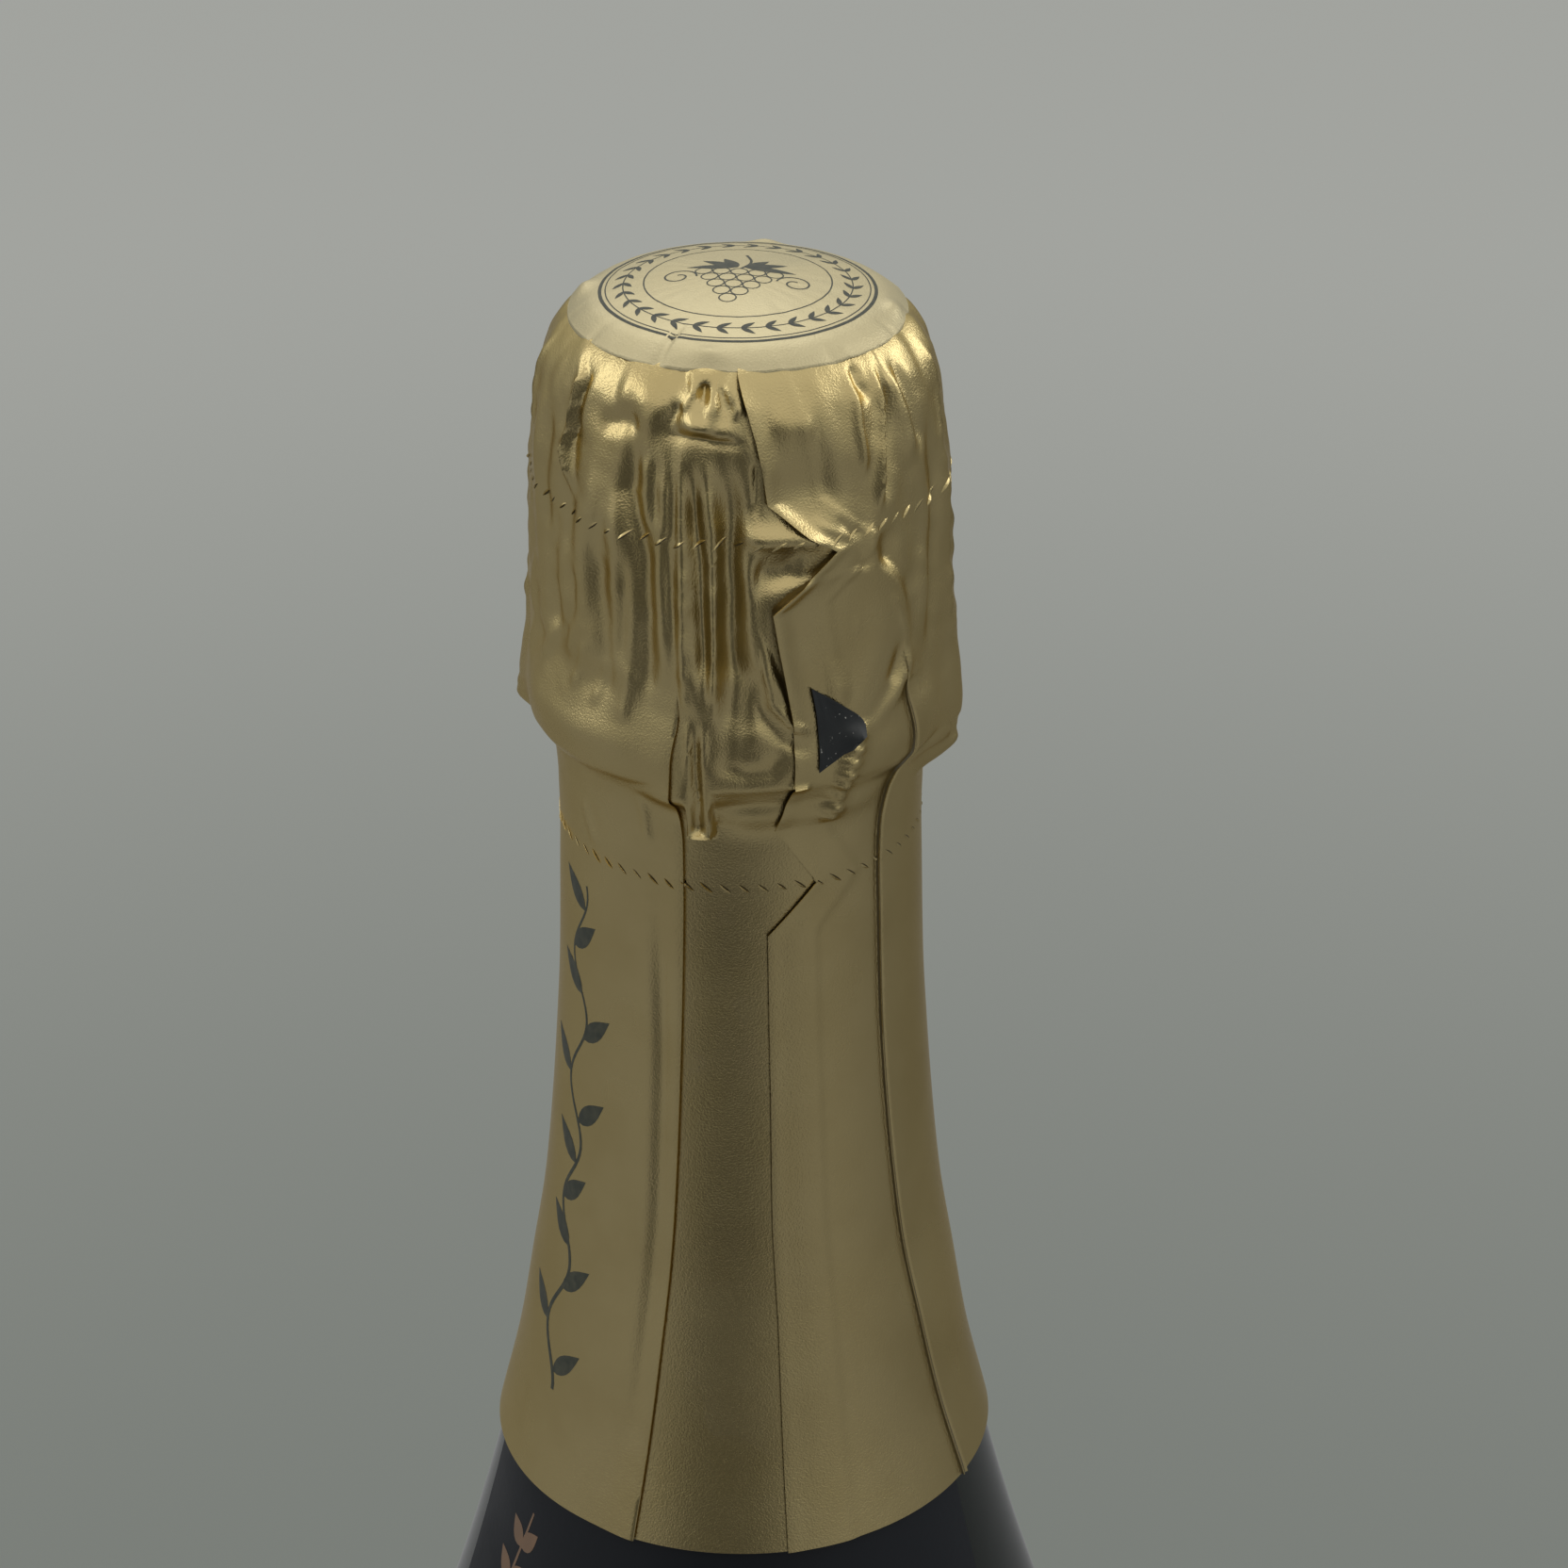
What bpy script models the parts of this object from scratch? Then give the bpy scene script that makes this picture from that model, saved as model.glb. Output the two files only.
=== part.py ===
"""A sealed 75 cl champagne bottle, standing on its base, in metres with +Z up.

The origin is the centre of the base, and the bottle's front faces -Y. Angles round the bottle are
measured from the front, positive towards +X. The glass holds the wine, a mushroom cork sits in the
bore, a wire cage with a metal cap holds the cork down, and a foil capsule covers the cage. The foil
tears along two rows of perforations, so it is made as the pieces that it comes apart into.
"""

import math

import bmesh
import bpy
from mathutils import Vector

MM = 0.001

# Driving sizes of the glass, measured up from the base or down from the lip.
lip_height = 300 * MM
body_radius = 44 * MM
shoulder_height = 112 * MM
neck_radius = 14.4 * MM
neck_straight = 28.5 * MM
neck_curve_radius = 275 * MM
lip_radius = 14.1 * MM
lip_band = 6 * MM
lip_round = 1.8 * MM
groove_radius = 13.4 * MM
groove_band = 3 * MM
groove_slope = 0.5 * MM
collar_radius = 15.6 * MM
collar_band = 9.5 * MM
collar_round = 2 * MM
bore_radius = 8.75 * MM
mouth_round = 1 * MM
body_wall = 4.5 * MM
heel_radius = 8 * MM
bearing_width = 2.5 * MM
punt_depth = 36 * MM
base_thickness = 9.5 * MM
valley_radius = 10 * MM

# The wine reaches this far below the lip.
ullage = 78 * MM

# The cork: a head above the lip, a shank in the bore and two discs glued under it.
head_radius = 13.4 * MM
head_height = 15 * MM
head_round = 3 * MM
head_foot_radius = 12 * MM
head_foot_rise = 4 * MM
shank_length = 13 * MM
disc_thickness = 6 * MM

# The cap under the top wire.
cap_radius = 12.6 * MM
cap_thickness = 0.4 * MM
cap_dome_height = 2.4 * MM
cap_rim_drop = 1.1 * MM

# The wire cage: a top ring, four twisted legs ending in eyelets, and a belt through the eyelets.
cage_wire_radius = 0.4 * MM
leg_count = 4
leg_twist_pitch = 5.2 * MM
top_ring_inset = 1.3 * MM
eyelet_width = 2.5 * MM
eyelet_length = 8.8 * MM
eyelet_rise = 3.4 * MM
eyelet_lean = 1.1 * MM
belt_weave_angle = math.radians(24)

# The loop that closes the belt: a twisted root and stem, and a ring to turn them by.
key_angle = math.radians(37)
key_wire_radius = 0.45 * MM
key_twist_pitch = 3.8 * MM
stem_offset = 17.4 * MM
stem_rise = 3.8 * MM
key_ring_length = 14 * MM
key_ring_width = 12.4 * MM

# The foil capsule.
foil_thickness = 0.2 * MM
upper_row_above_lip = 2.5 * MM
foil_below_lower_row = 61.8 * MM
foil_leaves_neck = 2 * MM
collar_slack = 0.9 * MM
key_drape = 2.5 * MM
hood_radius = 16.8 * MM
hood_shoulder_radius = 15.8 * MM
hood_shoulder_drop = 6 * MM
crown_radius = 14.8 * MM
row_gap = 0.15 * MM
tab_width = 4.5 * MM
tab_height = 7 * MM
tab_thickness = 0.25 * MM
tab_root_angle = math.radians(29)
tab_above_lower_row = 15 * MM

# The labels, each with its middle height and its spread round the bottle.
label_thickness = 0.12 * MM
label_corner = 4 * MM
neck_label_height = 46 * MM
neck_label_half_angle = math.radians(67)
neck_label_tuck = 6 * MM
front_label_width = 98 * MM
front_label_height = 74 * MM
front_label_middle = 66 * MM
back_label_width = 70 * MM
back_label_height = 56 * MM
back_label_middle = 66 * MM

# Running gaps between pieces that touch on the real bottle.
seat_gap = 0.3 * MM
skin_gap = 0.25 * MM
wire_gap = 0.25 * MM

# How finely the round shapes are divided, and the closest that two rows of points come.
turn_steps = 36
foil_steps = 60
arc_steps = 3
least_row_step = 1.5 * MM
merge_distance = 0.001 * MM

# Heights and radii that follow from the sizes above.
neck_end = lip_height - neck_straight
collar_top = lip_height - lip_band - groove_band
collar_foot = collar_top - collar_band
lower_row = neck_end
upper_row = lip_height + upper_row_above_lip
foil_foot = lower_row - foil_below_lower_row
wine_level = lip_height - ullage
head_top = lip_height + head_height
cap_top = head_top + seat_gap + cap_thickness
pair_radius = 2 * cage_wire_radius
top_ring_radius = cap_radius - top_ring_inset
top_ring_height = cap_top + wire_gap + cage_wire_radius
leg_radius = collar_radius + wire_gap + pair_radius
eyelet_radius = collar_radius + wire_gap + cage_wire_radius
eyelet_top = collar_foot + eyelet_rise
eyelet_foot = eyelet_top - eyelet_length
belt_radius = neck_radius + wire_gap + cage_wire_radius
belt_height = collar_foot - wire_gap - cage_wire_radius
foil_over_glass = skin_gap + label_thickness + skin_gap


def clear_scene():
    for thing in list(bpy.data.objects):
        bpy.data.objects.remove(thing)


def material(name, colour, roughness, metallic=0.0, alpha=1.0):
    made = bpy.data.materials.new(name)
    made.use_nodes = True
    shader = made.node_tree.nodes["Principled BSDF"]
    shader.inputs["Base Color"].default_value = (*colour, 1.0)
    shader.inputs["Roughness"].default_value = roughness
    shader.inputs["Metallic"].default_value = metallic
    shader.inputs["Alpha"].default_value = alpha
    made.diffuse_color = (*colour, alpha)
    return made


def add_piece(name, bm, finish):
    """Turns a mesh in the making into one named piece of the bottle."""
    bmesh.ops.recalc_face_normals(bm, faces=bm.faces)
    mesh = bpy.data.meshes.new(name)
    bm.to_mesh(mesh)
    bm.free()
    mesh.materials.append(finish)
    mesh.shade_smooth()
    mesh.set_sharp_from_angle(angle=math.radians(40))
    piece = bpy.data.objects.new(name, mesh)
    bpy.context.scene.collection.objects.link(piece)
    return piece


def at_angle(r, angle, z):
    """A point at radius r, angle round the bottle and height z."""
    return Vector((r * math.sin(angle), -r * math.cos(angle), z))


def arc(centre_r, centre_z, radius, start, end, steps=arc_steps):
    """Points (r, z) on an arc; angles in degrees from the outward direction."""
    points = []
    for step in range(steps + 1):
        angle = math.radians(start + (end - start) * step / steps)
        points.append((centre_r + radius * math.cos(angle), centre_z + radius * math.sin(angle)))
    return points


def between(points, z):
    """The radius at height z of a profile given as (r, z) points from low to high."""
    for (low_r, low_z), (high_r, high_z) in zip(points, points[1:]):
        if low_z <= z <= high_z and high_z > low_z:
            return low_r + (high_r - low_r) * (z - low_z) / (high_z - low_z)
    return points[0][0] if z < points[0][1] else points[-1][0]


def spaced(low, high, count):
    return [low + (high - low) * n / (count - 1) for n in range(count)]


def spun(name, profile, finish):
    """A solid turned from a profile. One that doesn't start and end on the axis is a closed loop."""
    bm = bmesh.new()
    verts = [bm.verts.new((r, 0, z)) for r, z in profile]
    edges = [bm.edges.new(pair) for pair in zip(verts, verts[1:])]
    if profile[0][0] > 0:
        edges.append(bm.edges.new((verts[-1], verts[0])))
    bmesh.ops.spin(
        bm,
        geom=verts + edges,
        axis=(0, 0, 1),
        cent=(0, 0, 0),
        angle=math.tau,
        steps=turn_steps,
        use_merge=True,
    )
    bmesh.ops.remove_doubles(bm, verts=bm.verts, dist=merge_distance)
    return add_piece(name, bm, finish)


# The glass. The hollow curve of the neck meets the shoulder's round one where their tangents agree.
def neck_and_shoulder():
    """(r, z) of the outside from the top of the straight body up to the straight neck."""
    rise = neck_end - shoulder_height
    spread = body_radius - neck_radius
    both_radii = (rise**2 + spread**2) / (2 * spread)
    shoulder_radius = both_radii - neck_curve_radius
    lean = math.degrees(math.asin(rise / both_radii))
    shoulder = arc(body_radius - shoulder_radius, shoulder_height, shoulder_radius, 0, lean, 5)
    neck = arc(neck_radius + neck_curve_radius, neck_end, neck_curve_radius, 180 + lean, 180, 8)
    return shoulder + neck[1:]


def glass_outside():
    """(r, z) of the outside from the bearing ring up to the lip."""
    heel_centre = body_radius - heel_radius
    collar_centre = collar_radius - collar_round
    lip_centre = lip_radius - lip_round
    return [
        *arc(heel_centre, heel_radius, heel_radius, -90, 0, 4),
        *neck_and_shoulder(),
        (neck_radius, collar_foot),
        *arc(collar_centre, collar_foot + collar_round, collar_round, -60, 0, 2),
        *arc(collar_centre, collar_top - collar_round, collar_round, 0, 90, 2),
        (groove_radius, collar_top),
        (groove_radius, collar_top + groove_band),
        (lip_radius, collar_top + groove_band + groove_slope),
        *arc(lip_centre, lip_height - lip_round, lip_round, 0, 90),
    ]


def punt_bell(radius, foot, height, steps=7):
    """(r, z) from the axis out to radius along a bell that is level at both ends."""
    points = []
    for step in range(steps + 1):
        share = step / steps
        points.append((radius * share, foot + height * (0.5 + 0.5 * math.cos(math.pi * share))))
    return points


def glass_inside(gap=0.0, top=lip_height):
    """(r, z) of the inside from the axis over the punt, through the valley and up to the height top."""
    valley = body_radius - body_wall - valley_radius
    floor = punt_bell(valley, base_thickness + gap, punt_depth)
    floor += arc(valley, base_thickness + valley_radius, valley_radius - gap, -90, 0)[1:]
    sides = []
    for r, z in neck_and_shoulder():
        share = (z - shoulder_height) / (neck_end - shoulder_height)
        ease = share * share * (3 - 2 * share)
        wall = body_wall + (neck_radius - bore_radius - body_wall) * ease
        sides.append((r - wall - gap, z))
    low_sides = [point for point in sides if point[1] < top - least_row_step]
    return [*floor, *low_sides, (between(sides, top), top)]


def glass_bottle(finish):
    inside = glass_inside(top=lip_height - mouth_round)
    mouth = arc(bore_radius + mouth_round, lip_height - mouth_round, mouth_round, 180, 90)[1:]
    outside = list(reversed(glass_outside()))
    bearing = body_radius - heel_radius
    punt = list(reversed(punt_bell(bearing - bearing_width, 0, punt_depth)))
    return spun("glass_bottle", [*inside, *mouth, *outside, *punt], finish)


def wine(finish):
    inside = glass_inside(gap=seat_gap, top=wine_level)
    return spun("wine", [*inside, (0, wine_level)], finish)


# The cork. The head stands on the lip and the shank fills the bore.
def cork(body_finish, disc_finish):
    shank_radius = bore_radius - seat_gap
    shank_foot = lip_height - shank_length
    head_foot = lip_height + seat_gap
    flare = head_radius - head_foot_radius
    profile = [
        (0, shank_foot),
        (shank_radius, shank_foot),
        (shank_radius, head_foot),
        (head_foot_radius, head_foot),
        *arc(head_foot_radius, head_foot + head_foot_rise, flare, -60, 0),
        *arc(head_radius - head_round, head_top - head_round, head_round, 0, 90),
        (0, head_top),
    ]
    spun("cork_body", profile, body_finish)
    disc_top = shank_foot - skin_gap
    for name in ("cork_disc_upper", "cork_disc_lower"):
        disc_foot = disc_top - disc_thickness
        disc = [
            (0, disc_foot),
            (shank_radius, disc_foot),
            (shank_radius, disc_top),
            (0, disc_top),
        ]
        spun(name, disc, disc_finish)
        disc_top = disc_foot - skin_gap


# The cap is a pressed disc with a raised middle and a rim turned down over the cork.
def muselet_cap(finish):
    dome_radius = top_ring_radius - cage_wire_radius - wire_gap
    dome_rise_share = 0.6
    steps = 4
    top = [(cap_radius, cap_top - cap_rim_drop), (cap_radius, cap_top)]
    for step in range(steps + 1):
        share = step / steps
        rise = cap_dome_height * (0.5 - 0.5 * math.cos(math.pi * share**dome_rise_share))
        top.append((dome_radius * (1 - share), cap_top + rise))
    under = [(r, z - cap_thickness) for r, z in reversed(top[2:])]
    rim_inside = cap_radius - cap_thickness
    rim = [(rim_inside, cap_top - cap_thickness), (rim_inside, cap_top - cap_rim_drop)]
    spun("muselet_cap", list(reversed([*top, *under, *rim])), finish)


# The wires.
def smooth_path(points, steps):
    """A smooth run through the given points, with steps pieces between each pair."""
    ends = [points[0], *points, points[-1]]
    path = []
    for before, a, b, after in zip(ends, ends[1:], ends[2:], ends[3:]):
        p, q, r, s = (Vector(point) for point in (before, a, b, after))
        for step in range(steps):
            t = step / steps
            curved = (2 * p - 5 * q + 4 * r - s) * t**2 + (3 * q - p - 3 * r + s) * t**3
            path.append((2 * q + (r - p) * t + curved) / 2)
    return [*path, Vector(points[-1])]


def even_steps(path, step_length):
    """The path again with its points about step_length apart."""
    lengths = [(b - a).length for a, b in zip(path, path[1:])]
    count = max(2, round(sum(lengths) / step_length))
    points, run, index = [], 0.0, 0
    for goal in spaced(0, sum(lengths), count + 1):
        while index < len(lengths) - 1 and run + lengths[index] < goal:
            run += lengths[index]
            index += 1
        share = min((goal - run) / lengths[index], 1.0)
        points.append(path[index].lerp(path[index + 1], share))
    return points


def twisted_pair(name, path, pitch, straight, finish):
    """Two wires twisted along a path of (x, z) points; the first stretch, straight, lies flat."""
    lobe_shares = (2.0, 1.2, 1.2) * 2
    sides = len(lobe_shares)
    bm = bmesh.new()
    rings = []
    run = 0.0
    for index, spot in enumerate(path):
        along = (path[min(index + 1, len(path) - 1)] - path[max(index - 1, 0)]).normalized()
        across = Vector((-along.y, 0, along.x))
        run += (spot - path[max(index - 1, 0)]).length
        turn = math.tau * max(run - straight, 0) / pitch
        ring = []
        for corner, lobe in enumerate(lobe_shares):
            angle = math.tau * corner / sides + turn
            reach = lobe * cage_wire_radius
            side = Vector((0, math.cos(angle) * reach, 0)) + across * math.sin(angle) * reach
            ring.append(bm.verts.new(Vector((spot.x, 0, spot.y)) + side))
        rings.append(ring)
    for low, high in zip(rings, rings[1:]):
        for corner in range(sides):
            after = (corner + 1) % sides
            bm.faces.new((low[corner], low[after], high[after], high[corner]))
    bm.faces.new(rings[0])
    bm.faces.new(rings[-1])
    return add_piece(name, bm, finish)


def wire_loop(name, points, radius, finish, sides=5):
    """A closed ring of round wire through the points, whose middle is the mean of them."""
    middle = sum(points, Vector((0, 0, 0))) / len(points)
    bm = bmesh.new()
    rings = []
    for index, spot in enumerate(points):
        along = (points[(index + 1) % len(points)] - points[index - 1]).normalized()
        outward = spot - middle
        outward = (outward - along * outward.dot(along)).normalized()
        other = along.cross(outward)
        ring = []
        for side in range(sides):
            angle = math.tau * side / sides
            ring.append(bm.verts.new(spot + radius * (outward * math.cos(angle) + other * math.sin(angle))))
        rings.append(ring)
    for index, ring in enumerate(rings):
        ahead = rings[(index + 1) % len(rings)]
        for side in range(sides):
            after = (side + 1) % sides
            bm.faces.new((ring[side], ring[after], ahead[after], ahead[side]))
    return add_piece(name, bm, finish)


def join(base, other):
    union = base.modifiers.new("join_" + other.name, "BOOLEAN")
    union.operation = "UNION"
    union.object = other
    other.hide_render = True
    other.display_type = "WIRE"


def leg_path():
    """(r, z) of a leg's middle line, clear of the cap's rim, the cork's head and the collar."""
    beside_cap = cap_radius + 2 * wire_gap + cage_wire_radius
    beside_head = head_radius + wire_gap + pair_radius
    return smooth_path(
        [
            (top_ring_radius, top_ring_height),
            (cap_radius - wire_gap, top_ring_height),
            (beside_cap, cap_top - wire_gap),
            (beside_cap + wire_gap, cap_top - cap_rim_drop - wire_gap),
            (beside_head, head_top - head_round),
            (beside_head, lip_height + head_foot_rise),
            (leg_radius, collar_top),
            (leg_radius, eyelet_top),
        ],
        steps=9,
    )


def eyelet_points():
    """The eyelet's middle line for a leg that stands towards +X, leaning in below the collar."""
    half = eyelet_width / 2
    straight = eyelet_length - eyelet_width
    upper = [(half * math.cos(turn), half * math.sin(turn)) for turn in spaced(0, math.pi, 6)]
    outline = upper + [(-across, -straight - up) for across, up in upper]
    points = []
    for across, up in outline:
        z = eyelet_top - half + up
        lean_share = max(0.0, (collar_foot - z) / (collar_foot - eyelet_foot))
        points.append(Vector((eyelet_radius - eyelet_lean * lean_share, across, z)))
    return points


def cage_wire(finish):
    turns = spaced(0, math.tau, turn_steps + 1)[:-1]
    ring = [at_angle(top_ring_radius, angle, top_ring_height) for angle in turns]
    cage = wire_loop("cage_wire", ring, cage_wire_radius, finish)
    path = even_steps(leg_path(), leg_twist_pitch / 5)
    for number in range(leg_count):
        leg = twisted_pair(f"cage_leg_{number + 1}", path, leg_twist_pitch, leg_twist_pitch, finish)
        eyelet = wire_loop(f"cage_eyelet_{number + 1}", eyelet_points(), cage_wire_radius, finish)
        for piece in (leg, eyelet):
            piece.rotation_euler.z = math.tau * number / leg_count - math.pi / 2
            join(cage, piece)


def leg_distance(angle):
    """The angle from the nearest leg."""
    step = math.tau / leg_count
    return (angle + step / 2) % step - step / 2


def belt_stand_out(angle):
    """The share of its full reach that the belt stands out, 1 where it passes outside an eyelet."""
    past = leg_distance(angle)
    strand = eyelet_width / 2 / belt_radius
    if past < -strand:
        share = max(0.0, 1 - (-strand - past) / belt_weave_angle)
    else:
        share = max(0.0, 1 - (past + strand) / (2 * strand))
    return share * share * (3 - 2 * share)


def belt_wire(finish):
    """The belt lies under the collar and weaves through the four eyelets."""
    reach = eyelet_radius + pair_radius + wire_gap - belt_radius
    points = []
    for angle in spaced(0, math.tau, 3 * turn_steps + 1)[:-1]:
        points.append(at_angle(belt_radius + reach * belt_stand_out(angle), angle, belt_height))
    wire_loop("belt_wire", points, cage_wire_radius, finish)


# The belt's key: its wire leaves the belt at key_angle, bends up over the collar and ends in a ring.
def key(finish):
    pivot = bpy.data.objects.new("key_pivot", None)
    bpy.context.scene.collection.objects.link(pivot)
    pivot.location = at_angle(stem_offset, key_angle, belt_height)
    pivot.rotation_euler.z = key_angle - math.pi / 2
    root_start = belt_radius + cage_wire_radius + seat_gap - stem_offset
    root_end = -cage_wire_radius
    root_path = even_steps([Vector((root_start, 0)), Vector((root_end, 0))], key_twist_pitch / 8)
    stem_start = pair_radius + seat_gap
    stem_path = even_steps([Vector((0, stem_start)), Vector((0, stem_rise))], key_twist_pitch / 7)
    root = twisted_pair("key_root", root_path, key_twist_pitch, 0, finish)
    stem = twisted_pair("key_stem", stem_path, key_twist_pitch, 0, finish)
    ring = wire_loop("key_ring", key_ring_points(), key_wire_radius, finish)
    for piece in (root, stem, ring):
        piece.parent = pivot


def key_ring_points():
    """A teardrop, pointed at the stem and bent to the round of the neck, in the pivot's own frame."""
    foot = stem_rise + seat_gap + key_wire_radius
    narrow_share = 0.35
    fullness_share = 1.13
    points = []
    for angle in spaced(0, math.tau, 25)[:-1]:
        share = 0.5 - 0.5 * math.cos(angle)
        taper = narrow_share + (1 - narrow_share) * share
        bend = key_ring_width / 2 * math.sin(angle) * taper * fullness_share / stem_offset
        x = stem_offset * (math.cos(bend) - 1)
        points.append(Vector((x, stem_offset * math.sin(bend), foot + key_ring_length * share)))
    return points


# The foil. One skin is drawn over everything under it, then parted along the rows.
def bell(distance, width):
    """1 near the middle and 0 well beyond width, with a flat top."""
    return math.exp(-((distance / width) ** 4))


def foil_base(z):
    """The inside radius of the foil between the legs at height z."""
    profile = [
        *((r + foil_over_glass, height) for r, height in neck_and_shoulder()),
        (neck_radius + foil_over_glass, neck_end + foil_leaves_neck),
        (collar_radius + collar_slack, collar_foot + foil_leaves_neck),
        (collar_radius + collar_slack, collar_top),
        (hood_radius, upper_row),
        (hood_shoulder_radius, cap_top - hood_shoulder_drop),
        (crown_radius - foil_thickness, cap_top),
    ]
    return between(profile, z)


def foil_inside(angle, z):
    """The inside radius of the foil, drawn over the legs, eyelets and key."""
    base = foil_base(z)
    nearest = (angle + math.pi) % math.tau - math.pi
    pushes = [leg_push(angle, z), eyelet_push(angle, z), key_push(nearest, z)]
    return base + max(max(radius - base, 0.0) * share for radius, share in pushes)


def leg_push(angle, z):
    """The inside radius of the foil over a leg, and its share at this place."""
    half_width = math.radians(7)
    path = [(spot.x, spot.y) for spot in reversed(leg_path())]
    share = bell(leg_distance(angle), half_width) if z > eyelet_top else 0.0
    return between(path, z) + pair_radius + wire_gap, share


def eyelet_push(angle, z):
    """The inside radius of the foil over an eyelet and its belt, and its share at this place."""
    half_width = math.radians(16)
    toward_belt = math.radians(4)
    low = eyelet_foot - cage_wire_radius
    high = eyelet_top + cage_wire_radius
    share = bell(leg_distance(angle) + toward_belt, half_width)
    share *= bell(z - (low + high) / 2, (high - low) / 2 + skin_gap)
    return eyelet_radius + pair_radius + cage_wire_radius + 2 * wire_gap, share


def key_push(angle, z):
    """The inside radius of the foil over the folded key, and its share at this place."""
    half_width = (key_ring_width / 2 + key_drape) / stem_offset
    low = belt_height - pair_radius
    high = belt_height + stem_rise + seat_gap + key_ring_length + 2 * key_wire_radius
    share = bell(angle - key_angle, half_width)
    share *= bell(z - (low + high) / 2, (high - low) / 2 + key_drape)
    return stem_offset + pair_radius + wire_gap, share


def foil_skin(name, heights, finish):
    """A band of foil round the bottle with rows of points at the given heights."""
    angles = spaced(0, math.tau, foil_steps + 1)[:-1]
    bm = bmesh.new()
    rows = []
    for z in heights:
        rows.append([bm.verts.new(at_angle(foil_inside(angle, z), angle, z)) for angle in angles])
    for low, high in zip(rows, rows[1:]):
        for n in range(foil_steps):
            after = (n + 1) % foil_steps
            bm.faces.new((low[n], low[after], high[after], high[n]))
    thicken(add_piece(name, bm, finish), foil_thickness)


def thicken(sheet, thickness):
    """Gives a sheet its thickness on its outer side."""
    wall = sheet.modifiers.new("thickness", "SOLIDIFY")
    wall.thickness = thickness
    wall.offset = 1.0


def foil_capsule(finish, tab_finish):
    low, high = foil_foot + least_row_step, lower_row - least_row_step
    glass_heights = [z for r, z in neck_and_shoulder() if low < z < high]
    foil_skin("foil_lower_skirt", [foil_foot, *glass_heights, lower_row - row_gap], finish)
    foil_skin("foil_tear_band", spaced(lower_row + row_gap, upper_row - row_gap, 10), finish)
    foil_skin("foil_upper_skirt", spaced(upper_row + row_gap, cap_top, 6), finish)
    crown_disc(finish)
    tear_tab(tab_finish)


def crown_disc(finish):
    """The round of foil that closes the capsule over the cap."""
    edge = cap_top + seat_gap
    dome = cap_dome_height + foil_thickness
    top = []
    for turn in spaced(0, math.pi / 2, 7):
        share = math.sin(turn)
        top.append((crown_radius * share, edge + dome * (1 - share**4) ** 0.5))
    under = [(r, z - foil_thickness) for r, z in top[:-1]]
    under.append((crown_radius - foil_thickness, edge))
    spun("foil_crown_disc", [*under, *reversed(top)], finish)


def tear_tab(finish):
    """The dark end of the tear strip: a small kite with its point away from its root."""
    height = lower_row + tab_above_lower_row
    root_radius = foil_inside(key_angle, height) + foil_thickness + seat_gap
    pivot = bpy.data.objects.new("tab_pivot", None)
    bpy.context.scene.collection.objects.link(pivot)
    pivot.location = at_angle(root_radius, tab_root_angle, height)
    pivot.rotation_euler.z = tab_root_angle - math.pi / 2
    middle_shares = (0.35, 0.0)
    outline_shares = ((0.0, 0.5), (0.08, 0.0), (0.04, -0.5), (0.6, -0.16), (1.0, 0.02), (0.6, 0.2))
    bm = bmesh.new()
    corners = []
    for across_share, up_share in (middle_shares, *outline_shares):
        bend = tab_width * across_share / root_radius
        x = root_radius * (math.cos(bend) - 1)
        corners.append(bm.verts.new((x, root_radius * math.sin(bend), tab_height * up_share)))
    middle, *rim = corners
    for n, corner in enumerate(rim):
        bm.faces.new((middle, rim[(n + 1) % len(rim)], corner))
    tab = add_piece("foil_tear_tab", bm, finish)
    tab.parent = pivot
    thicken(tab, tab_thickness)


# The labels are sheets bent to the glass.
def label(name, heights, half_angle, facing, radius_at, finish):
    """A sheet on the glass from -half_angle to +half_angle about facing, with its corners cut."""
    low, *middle, high = heights
    count = math.ceil(2 * half_angle * turn_steps / math.tau)
    bm = bmesh.new()
    rows = []
    for z in sorted((low, low + label_corner, *middle, high - label_corner, high)):
        pulled = label_corner / radius_at(z) if z in (low, high) else 0.0
        angles = spaced(pulled - half_angle, half_angle - pulled, count + 1)
        rows.append([bm.verts.new(at_angle(radius_at(z), facing + angle, z)) for angle in angles])
    for below, above in zip(rows, rows[1:]):
        for n in range(count):
            bm.faces.new((below[n], below[n + 1], above[n + 1], above[n]))
    thicken(add_piece(name, bm, finish), label_thickness)


def labels(finish):
    on_glass = [(r + skin_gap, z) for r, z in neck_and_shoulder()]
    top = foil_foot + neck_label_tuck
    foot = top - neck_label_height
    heights = [foot, *(z for r, z in on_glass if foot < z < top), top]
    label("neck_label", heights, neck_label_half_angle, 0, lambda z: between(on_glass, z), finish)
    for name, width, height, middle, facing in (
        ("front_label", front_label_width, front_label_height, front_label_middle, 0),
        ("back_label", back_label_width, back_label_height, back_label_middle, math.pi),
    ):
        heights = [middle - height / 2, middle + height / 2]
        half_angle = width / 2 / body_radius
        label(name, heights, half_angle, facing, lambda z: body_radius + skin_gap, finish)


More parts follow.
